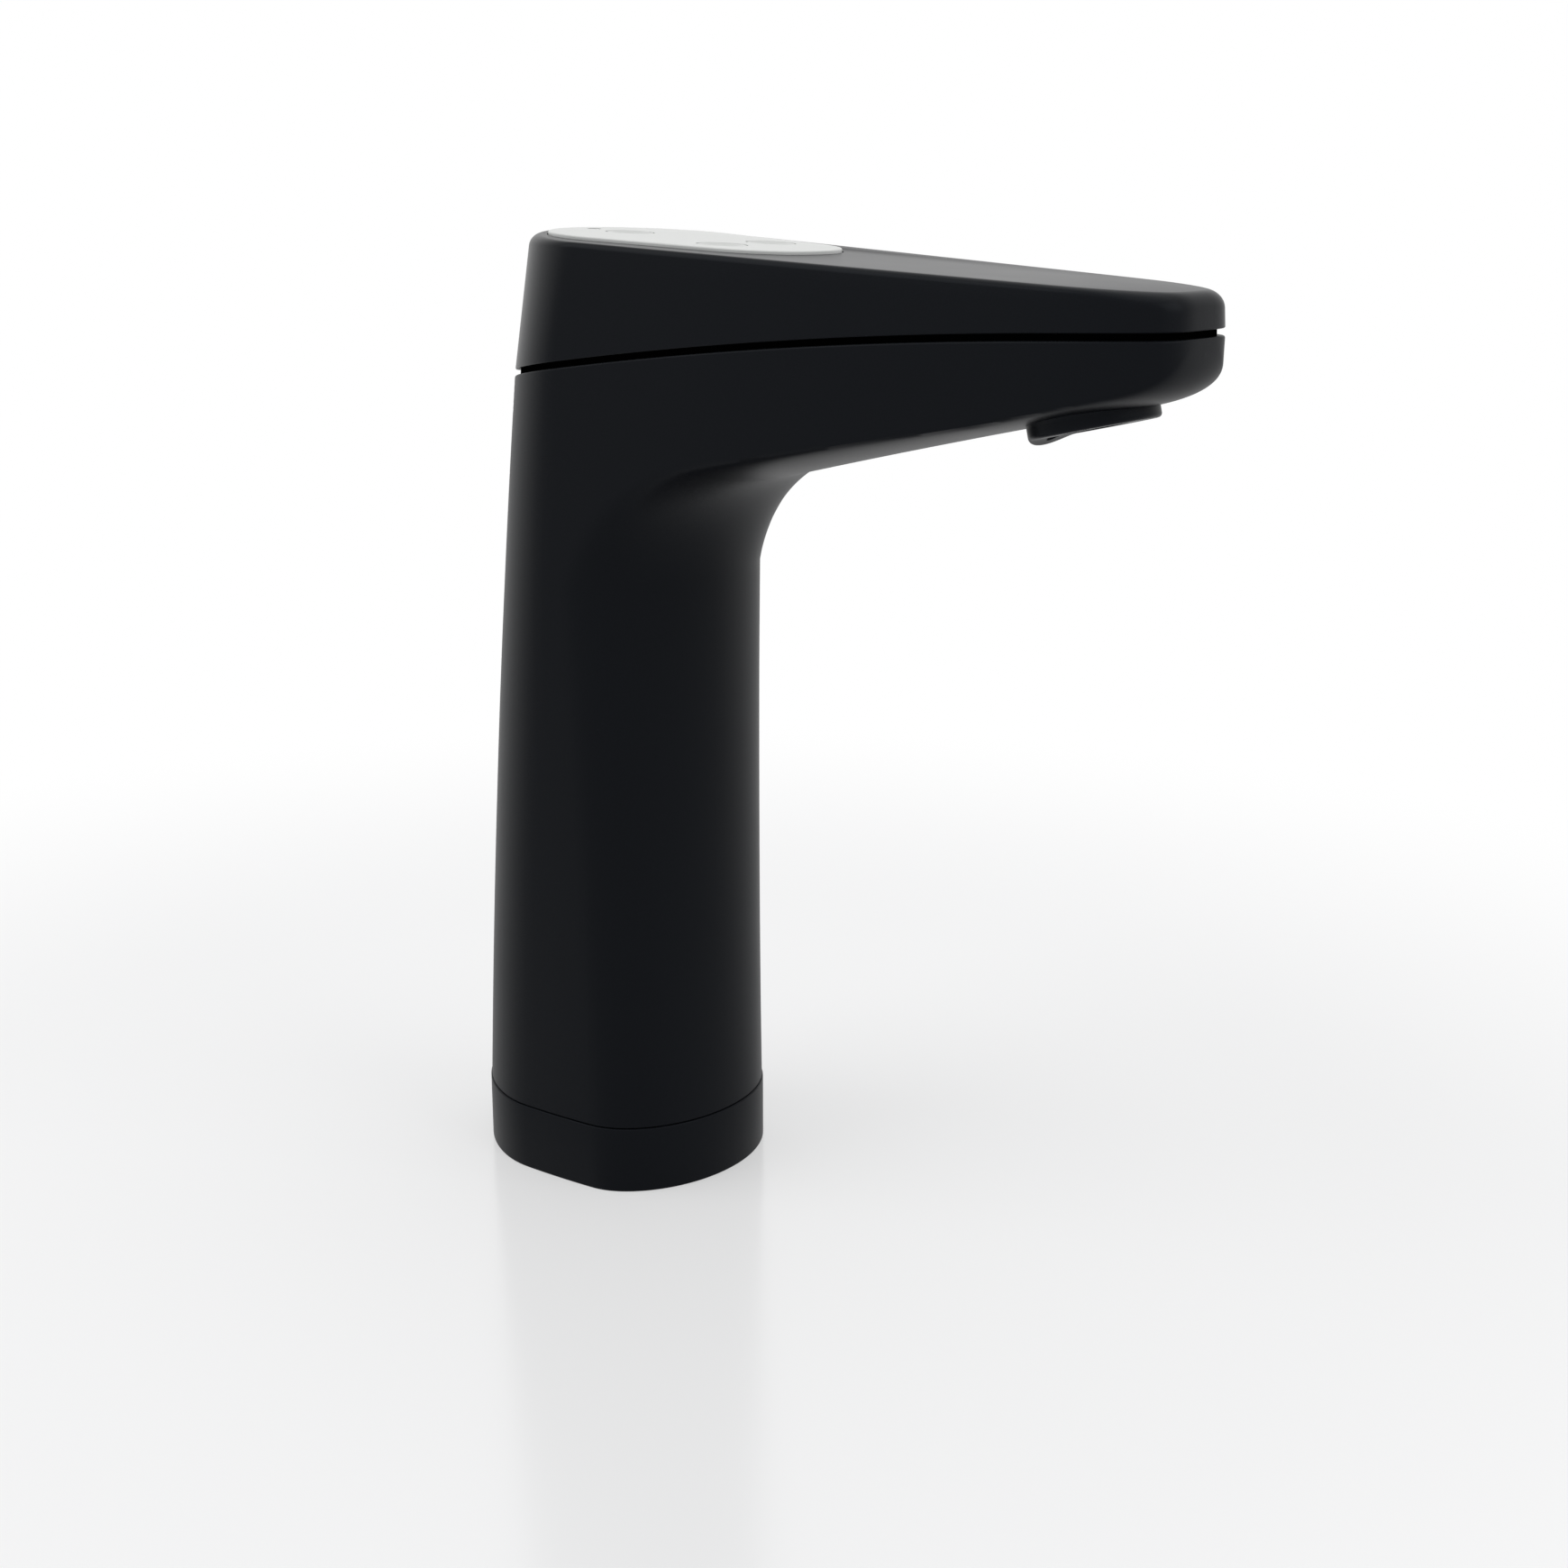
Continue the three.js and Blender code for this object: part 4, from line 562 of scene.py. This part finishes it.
def panel_ring(height, inset):
    """Whole outline of the panel at a height above the tilted top, pulled in by `inset`. It
    keeps 8 mm from the side of the top at its back end and 11.5 mm at its front end."""
    back, front = PANEL_BACK + inset, PANEL_FRONT - inset
    s = end_spaced(OUTLINE_STEPS)
    x = mix(back, front, s)
    side = head_side(x) - SIDE_DRAFT * (top_z(x) - groove_z(x))
    side = side - mix(*PANEL_SIDE_MARGINS, s) - inset
    back_end = rounded_end(x - back, PANEL_BACK_ROUND - inset, PANEL_BACK_POWER)
    front_end = rounded_end(front - x, PANEL_FRONT_ROUND - inset, PANEL_FRONT_POWER)
    return whole_ring(x, side * back_end * front_end, top_z(x) + height)


print("panel from x =", round(PANEL_BACK, 1), "to", PANEL_FRONT)

# %% Heights and edges of the cover
TOP_END_EDGE, TOP_SIDE_EDGE = 3.7, 1.4
TOP_BACK_REACH, TOP_TIP_REACH = 45, 22    # how far in from each end the edge changes
COVER_FOOT, COVER_CHAMFER = 1.0, 0.2    # foot chamfer: top above the groove's middle, depth


def above_groove(height):
    """Heights that follow the groove's middle at a distance."""
    return lambda x: groove_z(x) + height


def above_top(height):
    """Heights that follow the tilted top at a distance."""
    return lambda x: top_z(x) + height


def smooth(t):
    """0 below 0 and 1 above 1, and between them the curve 3 t^2 - 2 t^3."""
    t = np.clip(t, 0, 1)
    return t * t * (3 - 2 * t)


def top_edge(x):
    """Radius of the cover's top edge: 3.7 mm at the back and the tip, 1.4 mm along the sides."""
    back = 1 - smooth((x - HEAD_BACK) / TOP_BACK_REACH)
    tip = smooth((x - HEAD_TIP + TOP_TIP_REACH) / TOP_TIP_REACH)
    return mix(TOP_SIDE_EDGE, TOP_END_EDGE, np.maximum(back, tip))


def wall_at(share):
    """Heights of the wall at a share of the way from its foot to the foot of the top edge."""
    return lambda x: mix(groove_z(x) + COVER_FOOT, top_z(x) - top_edge(x), share)


print("top edge at x = 50:", round(float(top_edge(50.0)), 2), "mm")

# %% Head cover
COVER_WALL = 2.5
WELL_FLOOR, WELL_ROOF = -2.6, -5.4
WELL_LIP = [(0, 0.5), (-0.08, 0.36), (-0.35, CLEARANCE), (WELL_FLOOR, CLEARANCE)]
BUTTONS = {"boiling": (48.0, -9.2), "chilled": (48.0, 9.2), "safety": (9.5, 0.0)}
BUTTON_RADIUS = 6.0

rings = [head_ring(above_groove(GROOVE / 2), COVER_CHAMFER)]
rings += [head_ring(above_groove(COVER_FOOT), 0.0)]
rings += [head_ring(wall_at(share), 0.0) for share in (0.25, 0.5, 0.75)]
for angle in np.linspace(0, np.pi / 2, 11):
    down, inward = 1 - np.sin(angle), 1 - np.cos(angle)
    rings.append(head_ring(
        lambda x, d=down: top_z(x) - top_edge(x) * d,
        TOP_END_EDGE * inward,
        lambda x, i=inward: top_edge(x) * i,
    ))
rings += [panel_ring(height, -outward) for height, outward in WELL_LIP]
well = closed_across(rings[-1])
roof_ring = head_ring(above_top(WELL_ROOF), COVER_WALL)
inner_wall = np.stack([rings[0], head_ring(above_groove(GROOVE / 2), COVER_WALL), roof_ring])
cover_shell = shell("cover_shell", [np.stack(rings), well, inner_wall, closed_across(roof_ring)])
button_bore = bore(BUTTON_RADIUS + CLEARANCE, -7, 1)
cut_out(cover_shell, [on_top(button_bore, place) for place in BUTTONS.values()])
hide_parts("head_cover")

# %% [markdown]
# Between the casting and the cover runs a dark groove. Its floor is the edge of the inner
# frame, a plain black moulding. The frame's own CAD solid would do behind it, but its edge has
# few corners, so a fine band with the head's outline is laid over that edge. The band's finish
# is near black with no reflection at all, so the groove's shade is painted into it on top of
# the moulding's own black.

# %% Groove band
BAND_OUT, BAND_IN, BAND_HALF = 1.55, 4.0, 0.85

band = [
    (BAND_OUT, -BAND_HALF), (BAND_OUT, BAND_HALF),
    (BAND_IN, BAND_HALF), (BAND_IN, -BAND_HALF), (BAND_OUT, -BAND_HALF),
]
band_rings = np.stack([head_ring(above_groove(height), inset) for inset, height in band])
groove_band = shell("groove_band", [band_rings])

# %% [markdown]
# The control panel is a thin satin plate with a soft edge, let into the top so that a dark line
# runs round it. The buttons stand in three holes in it. It could be cut from a flat sheet, but
# its outline narrows with the head, so the outline function gives it like the well round it.

# %% Control panel
PANEL_LOW, PANEL_FACE, PANEL_EDGE = -1.2, 0.8, 0.4
LENS_PLACE, LENS_RADIUS = (-3.0, 0.0), 1.5

plate = np.stack([
    panel_ring(PANEL_LOW, 0.0),
    panel_ring(PANEL_FACE - PANEL_EDGE, 0.0),
    *[
        panel_ring(PANEL_FACE - PANEL_EDGE * (1 - np.sin(a)), PANEL_EDGE * (1 - np.cos(a)))
        for a in np.linspace(0.3, np.pi / 2, 6)
    ],
])
panel_plate = shell("panel_plate", [
    plate,
    closed_across(panel_ring(PANEL_FACE, PANEL_EDGE)),
    closed_across(panel_ring(PANEL_LOW, 0.0)),
])
cut_out(panel_plate, [
    *[on_top(bore(BUTTON_RADIUS + CLEARANCE, -3, 2), place) for place in BUTTONS.values()],
    on_top(bore(LENS_RADIUS + CLEARANCE, -3, 2, 32), LENS_PLACE),
])
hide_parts("control_panel")

# %% [markdown]
# Each button is turned: a dished face for the fingertip, a narrow rim, a flange below the
# panel and a stem over its switch. A sphere could cut the dish, but the profile says it all.
# At rest the stem and the flange keep a little clear of the spring round the stem.

# %% Buttons
BUTTON_EDGE = 0.4
DISH_RADIUS, DISH_RIM, DISH_DEPTH = 5.2, 5.4, 1.0
FLANGE_RADIUS, FLANGE_LOW, FLANGE_HIGH = 7.3, -6.4, -5.7
STEM_RADIUS, STEM_END, STEM_CHAMFER = 1.9, -11.9, 0.2

quarter = np.linspace(0, np.pi / 2, 6)
button_profile = [
    (0, STEM_END), (STEM_RADIUS - STEM_CHAMFER, STEM_END),
    (STEM_RADIUS, STEM_END + STEM_CHAMFER), (STEM_RADIUS, FLANGE_LOW),
    (FLANGE_RADIUS, FLANGE_LOW), (FLANGE_RADIUS, FLANGE_HIGH), (BUTTON_RADIUS, FLANGE_HIGH),
    *zip(
        BUTTON_RADIUS - BUTTON_EDGE * (1 - np.cos(quarter)),
        PANEL_FACE - BUTTON_EDGE * (1 - np.sin(quarter)),
    ),
    (DISH_RIM, PANEL_FACE),
    *[(DISH_RADIUS * s, PANEL_FACE - DISH_DEPTH * (1 - s * s)) for s in np.linspace(1, 0, 14)],
]
finger_buttons = []
for name, place in BUTTONS.items():
    grid = on_top(turned(button_profile, ROUND_SIDES), place)
    button = shell(f"finger_button_{name}", [grid], body=f"{name}_button")
    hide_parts(f"button_{name}")
    finger_buttons.append(button)

# %% [markdown]
# The outlet is a round boss under the tip, tilted so that the stream falls clear. It carries a
# wide nozzle and a small one behind it, and its back rim hangs down into a short heel. A turned
# boss could be bent with a lattice, but the heel is one more term in the height of its foot.

# %% Outlet boss
OUTLET_SLOPE, OUTLET_DROP = 0.235, 2.75    # of its face, and from the arm's underside
OUTLET_TILT = -np.arctan(OUTLET_SLOPE)
OUTLET = (OUTLET_X, 0.0, float(underside_z(OUTLET_X)) - OUTLET_DROP)
BOSS_EDGE, BOSS_HEIGHT = 0.95, 9.0
BOSS_FACE, BOSS_BEND = 9.0, 1.8   # radius of its first flat ring, height of its side ring
FLARE_LOW, FLARE_HEIGHT = 2.7, 3.6
FLARE_END = (17.0, 8.2)           # hidden in the arm
HEEL_DROP, HEEL_REACH, HEEL_POWER = 1.7, 4.0, 1.3
NOZZLE_RADIUS, VENT_RADIUS = 7.0, 1.9
BOSS_SIDES, NOZZLE_SIDES, VENT_SIDES = 144, 96, 48
VENT_PLACE = (-10.3, 0.0)


def at_outlet(points, place=(0, 0)):
    """Puts a shape made round the Z axis under the arm, tilted as the outlet is."""
    return tilted(points, place, OUTLET_TILT, OUTLET)


def with_heel(points):
    """Lowers the foot of the boss over its last 4 mm at the back by 1.7 t^1.3, where t runs
    from 0 to 1 there, and less the higher a point lies, up to 2.7 mm above the foot."""
    t = np.clip((HEEL_REACH - BOSS_RADIUS - points[..., 0]) / HEEL_REACH, 0, 1)
    drop = HEEL_DROP * t**HEEL_POWER * np.clip(1 - points[..., 2] / FLARE_LOW, 0, 1)
    return points - np.stack([0 * drop, 0 * drop, drop], axis=-1)


boss_bore = NOZZLE_RADIUS + CLEARANCE
vent_bore = VENT_RADIUS + CLEARANCE
flat_end = BOSS_RADIUS - BOSS_EDGE
quarter = np.linspace(0, np.pi / 2, 7)[1:]
boss_profile = [
    (boss_bore, 0.25), (boss_bore + 0.2, 0),
    *[(radius, 0) for radius in np.linspace(BOSS_FACE, flat_end, 9)],
    *zip(flat_end + BOSS_EDGE * np.sin(quarter), BOSS_EDGE * (1 - np.cos(quarter))),
    (BOSS_RADIUS, BOSS_BEND), (BOSS_RADIUS, FLARE_LOW),
    *[
        (BOSS_RADIUS + BOSS_FLARE * t * t, FLARE_LOW + FLARE_HEIGHT * t)
        for t in np.linspace(0.1, 1, 9)
    ],
    FLARE_END, (BOSS_RADIUS, BOSS_HEIGHT), (boss_bore, BOSS_HEIGHT), (boss_bore, 0.25),
]
outlet_boss = shell("outlet_boss", [at_outlet(with_heel(turned(boss_profile, BOSS_SIDES)))])
cut_out(outlet_boss, [at_outlet(bore(vent_bore, -3, 10, VENT_SIDES), VENT_PLACE)])
cut_out(column_shell, [
    at_outlet(bore(boss_bore, -6, 12, NOZZLE_SIDES)),
    at_outlet(bore(vent_bore, -6, 12, VENT_SIDES), VENT_PLACE),
])
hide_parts("column_body")

# %% [markdown]
# Both nozzles are turned steel tubes whose ends stand just inside the boss. Plain cylinders
# would look cut off, so their profiles carry the small chamfers and the inner step.

# %% Nozzles
TUBE_FACE = 0.8                   # how far inside the boss both ends stand
NOZZLE_MOUTH, NOZZLE_THROAT = 6.0, 4.4
NOZZLE_STEP, NOZZLE_TOP = 5.3, 7.7
VENT_MOUTH, VENT_TOP = 1.1, 9

nozzle_profile = [
    (NOZZLE_MOUTH + 0.2, TUBE_FACE), (NOZZLE_RADIUS - 0.25, TUBE_FACE),
    (NOZZLE_RADIUS, TUBE_FACE + 0.25), (NOZZLE_RADIUS, NOZZLE_TOP),
    (NOZZLE_THROAT, NOZZLE_TOP), (NOZZLE_THROAT, NOZZLE_STEP), (NOZZLE_MOUTH, NOZZLE_STEP),
    (NOZZLE_MOUTH, TUBE_FACE + 0.2), (NOZZLE_MOUTH + 0.2, TUBE_FACE),
]
nozzle = shell("nozzle_ring", [at_outlet(turned(nozzle_profile, NOZZLE_SIDES))])
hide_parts("outlet_nozzle")

vent_profile = [
    (VENT_MOUTH, TUBE_FACE + 0.15), (VENT_MOUTH + 0.15, TUBE_FACE),
    (VENT_RADIUS - 0.15, TUBE_FACE), (VENT_RADIUS, TUBE_FACE + 0.15),
    (VENT_RADIUS, VENT_TOP), (VENT_MOUTH, VENT_TOP), (VENT_MOUTH, TUBE_FACE + 0.15),
]
vent = shell("vent_ring", [at_outlet(turned(vent_profile, VENT_SIDES), VENT_PLACE)])
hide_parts("vent_nozzle")

# %% [markdown]
# The finishes come next. Cast and moulded black on such a tap is a satin coat with a very fine
# tooth: it could be a plain dark colour, but then its highlights would be too clean. One node
# group makes that tooth, with a scale in cycles per metre, and every finish uses it with its
# own values. It gives out a height for Bump and a small spread of roughness.

# %% Tooth: a group shared by the finishes
def new_group(name, inputs, outputs):
    """An empty shader group with float inputs and outputs of the given names and values."""
    group = bpy.data.node_groups.new(name, "ShaderNodeTree")
    for label, value in inputs:
        socket = group.interface.new_socket(label, in_out="INPUT", socket_type="NodeSocketFloat")
        socket.default_value = value
    for label in outputs:
        group.interface.new_socket(label, in_out="OUTPUT", socket_type="NodeSocketFloat")
    return group, group.nodes.new("NodeGroupInput"), group.nodes.new("NodeGroupOutput")


def math_node(tree, operation, *values):
    """Output of a new math node. Its inputs, in order, are sockets or plain numbers."""
    node = tree.nodes.new("ShaderNodeMath")
    node.operation = operation
    for socket, value in zip(node.inputs, values):
        if isinstance(value, bpy.types.NodeSocket):
            tree.links.new(value, socket)
        else:
            socket.default_value = value
    return node.outputs["Value"]


tooth, tooth_in, tooth_out = new_group(
    "surface_tooth",
    [("Scale", 2500.0), ("Roughness", 0.4), ("Spread", 0.05)],
    ["Height", "Roughness"],
)
coordinates = tooth.nodes.new("ShaderNodeTexCoord")
grain = tooth.nodes.new("ShaderNodeTexNoise")
grain.inputs["Detail"].default_value = 3.0
clouds = tooth.nodes.new("ShaderNodeTexNoise")
clouds.inputs["Scale"].default_value = 35.0
clouds.inputs["Detail"].default_value = 4.0
for noise in (grain, clouds):
    tooth.links.new(coordinates.outputs["Object"], noise.inputs["Vector"])
tooth.links.new(tooth_in.outputs["Scale"], grain.inputs["Scale"])
centred = math_node(tooth, "SUBTRACT", clouds.outputs["Fac"], 0.5)
spread = math_node(
    tooth, "MULTIPLY_ADD", centred, tooth_in.outputs["Spread"], tooth_in.outputs["Roughness"]
)
tooth.links.new(grain.outputs["Fac"], tooth_out.inputs["Height"])
tooth.links.new(spread, tooth_out.inputs["Roughness"])
print("group", tooth.name, "with", len(tooth.nodes), "nodes")


# %% Finishes from the tooth
def finish(name, colour, roughness, metallic=0.0, specular=0.5, scale=2500.0, relief=0.2,
           coat=0.0, tint=(1, 1, 1)):
    """A Principled finish whose tooth gives its bump and the spread of its roughness."""
    material = bpy.data.materials.new(name)
    material.use_nodes = True
    nodes, links = material.node_tree.nodes, material.node_tree.links
    shader = nodes["Principled BSDF"]
    shader.inputs["Base Color"].default_value = (*colour, 1)
    shader.inputs["Metallic"].default_value = metallic
    shader.inputs["Specular IOR Level"].default_value = specular
    shader.inputs["Specular Tint"].default_value = (*tint, 1)
    shader.inputs["Coat Weight"].default_value = coat
    grain = nodes.new("ShaderNodeGroup")
    grain.node_tree = tooth
    grain.inputs["Scale"].default_value = scale
    grain.inputs["Roughness"].default_value = roughness
    links.new(grain.outputs["Roughness"], shader.inputs["Roughness"])
    bump = nodes.new("ShaderNodeBump")
    bump.inputs["Strength"].default_value = relief
    bump.inputs["Distance"].default_value = 0.0001
    links.new(grain.outputs["Height"], bump.inputs["Height"])
    links.new(bump.outputs["Normal"], shader.inputs["Normal"])
    return material


BLUE_BLACK = (0.0040, 0.0045, 0.0060)
SATIN = {"specular": 0.075, "tint": (0.86, 0.93, 1.0)}
FINISHES = {
    "satin_black_metal": finish("satin_black_coat", BLUE_BLACK, 0.40, **SATIN),
    "satin_black_plastic": finish("satin_black_cover", BLUE_BLACK, 0.30, **SATIN),
    # near black with no specular: the moulding's own black, with the groove's shade painted in
    "black_liner": finish("black_liner", (0.001, 0.001, 0.001), 0.9, specular=0.0),
    "silver_panel": finish("satin_silver_panel", (0.66, 0.67, 0.65), 0.34, scale=1800.0),
    "silver_button": finish("satin_silver_button", (0.60, 0.61, 0.59), 0.32, scale=1800.0),
    "foam": finish("foam_gasket", (0.02, 0.02, 0.02), 0.9, scale=900.0, relief=0.8),
    "smoked_lens": finish("smoked_lens", (0.006, 0.006, 0.008), 0.12, coat=0.5),
    "brass": finish("machined_brass", (0.55, 0.36, 0.11), 0.32, metallic=1.0, scale=1200.0),
    "steel": finish(
        "bright_steel", (0.62, 0.62, 0.61), 0.22, metallic=1.0, scale=1500.0, relief=0.1
    ),
    "rubber": finish("seal_rubber", (0.012, 0.012, 0.012), 0.75, relief=0.5),
    "board": finish("board_laminate", (0.02, 0.12, 0.045), 0.45),
    "switch_black": finish("switch_black", (0.012, 0.012, 0.013), 0.5),
    "silicone": finish("tube_silicone", (0.72, 0.70, 0.62), 0.4),
    "nylon": finish("natural_nylon", (0.78, 0.76, 0.70), 0.5),
    "cable": finish("cable_jacket", (0.03, 0.032, 0.036), 0.6),
}
print(len(FINISHES), "finishes")

# %% Finishes on the CAD nodes and the new pieces
for entry in frame["record"]["subparts"]:
    node = frame["nodes"][entry["node"]]
    for material_slot in node.material_slots:
        material_slot.material = FINISHES[entry["material_slot"]]
dressed = {
    "satin_black_metal": [column_shell, base_skirt, outlet_boss],
    "satin_black_plastic": [cover_shell],
    # the groove band's finish paints the groove's shade onto the moulding's edge
    "black_liner": [groove_band],
    "silver_panel": [panel_plate],
    "silver_button": finger_buttons,
    "steel": [nozzle, vent],
}
for finish_name, pieces in dressed.items():
    for piece in pieces:
        piece.data.materials.clear()
        piece.data.materials.append(FINISHES[finish_name])
print(sum(map(len, dressed.values())), "pieces and", len(frame["nodes"]), "nodes are dressed")

# %% [markdown]
# The floor is one pale plane. A shadow catcher would leave the picture without a floor, so this
# one keeps the tap's shadow and a weak reflection. Its own colour makes it pale, and to the
# camera a glow takes it to white: a little near the tap, and all of it half a metre away, so
# that no horizon shows. Glossy rays get the same white, which is what the tap's edges reflect.

# %% Floor
FLOOR_SIZE = 6.0                  # metres, from the tap to each side

floor_mesh = bpy.data.meshes.new("floor")
floor_corners = [
    (x * FLOOR_SIZE, y * FLOOR_SIZE, 0) for x, y in ((-1, -1), (1, -1), (1, 1), (-1, 1))
]
floor_mesh.from_pydata(floor_corners, [], [(0, 1, 2, 3)])
floor = bpy.data.objects.new("floor", floor_mesh)
scene.collection.objects.link(floor)
print("floor", 2 * FLOOR_SIZE, "m wide")

# %% Finish of the floor
FLOOR_GLOW = 0.42                 # share of the glow near the tap
GLOW_NEAR, GLOW_FAR = 0.2, 0.5    # metres from the tap between which it grows to 1

pale = bpy.data.materials.new("floor_pale")
pale.use_nodes = True
floor_mesh.materials.append(pale)
nodes, links = pale.node_tree.nodes, pale.node_tree.links
surface = nodes["Principled BSDF"]
surface.inputs["Base Color"].default_value = (0.92, 0.92, 0.92, 1)
surface.inputs["Roughness"].default_value = 0.17
surface.inputs["IOR"].default_value = 2.0


def white_rays(tree):
    """A value that is 1 for camera, glossy and transmission rays, and 0 for all others."""
    path = tree.nodes.new("ShaderNodeLightPath")
    seen = math_node(tree, "MAXIMUM", path.outputs["Is Camera Ray"], path.outputs["Is Glossy Ray"])
    return math_node(tree, "MAXIMUM", seen, path.outputs["Is Transmission Ray"])


glow = nodes.new("ShaderNodeEmission")
glow.inputs["Color"].default_value = (1, 1, 1, 1)
floor_place = nodes.new("ShaderNodeTexCoord")
from_tap = nodes.new("ShaderNodeVectorMath")
from_tap.operation = "LENGTH"
links.new(floor_place.outputs["Object"], from_tap.inputs[0])
far = nodes.new("ShaderNodeMapRange")
far.interpolation_type = "SMOOTHSTEP"
far.inputs["From Min"].default_value = GLOW_NEAR
far.inputs["From Max"].default_value = GLOW_FAR
far.inputs["To Min"].default_value = FLOOR_GLOW
far.inputs["To Max"].default_value = 1.0
links.new(from_tap.outputs["Value"], far.inputs["Value"])
lit = nodes.new("ShaderNodeMixShader")
tree = pale.node_tree
glow_share = math_node(tree, "MULTIPLY", white_rays(tree), far.outputs["Result"])
links.new(glow_share, lit.inputs["Fac"])
links.new(surface.outputs["BSDF"], lit.inputs[1])
links.new(glow.outputs["Emission"], lit.inputs[2])
links.new(lit.outputs["Shader"], nodes["Material Output"].inputs["Surface"])
print("floor glow near the tap:", FLOOR_GLOW)

# %% [markdown]
# The world does two jobs. To the camera and in reflections it is plain white, as behind the
# tap in the picture, and as light it is a weak, even grey. A lit backdrop could do both, but
# it would need much more light than the tap should get.

# %% World
world = bpy.data.worlds.new("studio")
scene.world = world
world.use_nodes = True
nodes, links = world.node_tree.nodes, world.node_tree.links
backdrop = nodes["Background"]
backdrop.inputs["Color"].default_value = (0.97, 0.98, 1.0, 1)
backdrop.inputs["Strength"].default_value = 0.45
white = nodes.new("ShaderNodeBackground")
white.inputs["Color"].default_value = (1, 1, 1, 1)
blend = nodes.new("ShaderNodeMixShader")
links.new(white_rays(world.node_tree), blend.inputs["Fac"])
links.new(backdrop.outputs["Background"], blend.inputs[1])
links.new(white.outputs["Background"], blend.inputs[2])
links.new(blend.outputs["Shader"], nodes["World Output"].inputs["Surface"])
print("world strength as light:", round(backdrop.inputs["Strength"].default_value, 2))

# %% [markdown]
# Three large square lamps give the soft studio light. Small ones would draw hard bright lines
# along the head's edges, which a satin coat under a wide light doesn't show.

# %% Lamps
TAP_MIDDLE = (0.05, 0, 0.12)


def soft_lamp(name, place, target, size, power):
    """A square lamp that looks at a point, with its size and place in metres."""
    data = bpy.data.lights.new(name, "AREA")
    data.size, data.energy = size, power
    lamp = bpy.data.objects.new(name, data)
    lamp.location = place
    offset = np.array(place) - np.array(target)
    down = np.arctan2(np.hypot(offset[0], offset[1]), offset[2])
    round_z = np.arctan2(offset[1], offset[0]) + np.pi / 2
    lamp.rotation_euler = (down, 0, round_z)
    scene.collection.objects.link(lamp)
    return lamp


lamps = [
    soft_lamp("key", (-0.9, -1.3, 1.5), TAP_MIDDLE, 1.6, 13),
    soft_lamp("fill", (1.7, 0.2, 1.2), TAP_MIDDLE, 1.4, 8),
    soft_lamp("top", (0.1, 0.2, 2.0), (0.05, 0, 0.2), 2.0, 10),
]
print("lamps:", {lamp.name: lamp.data.energy for lamp in lamps})

# %% [markdown]
# Last, the json module is imported once more.

# %% Import json
import json
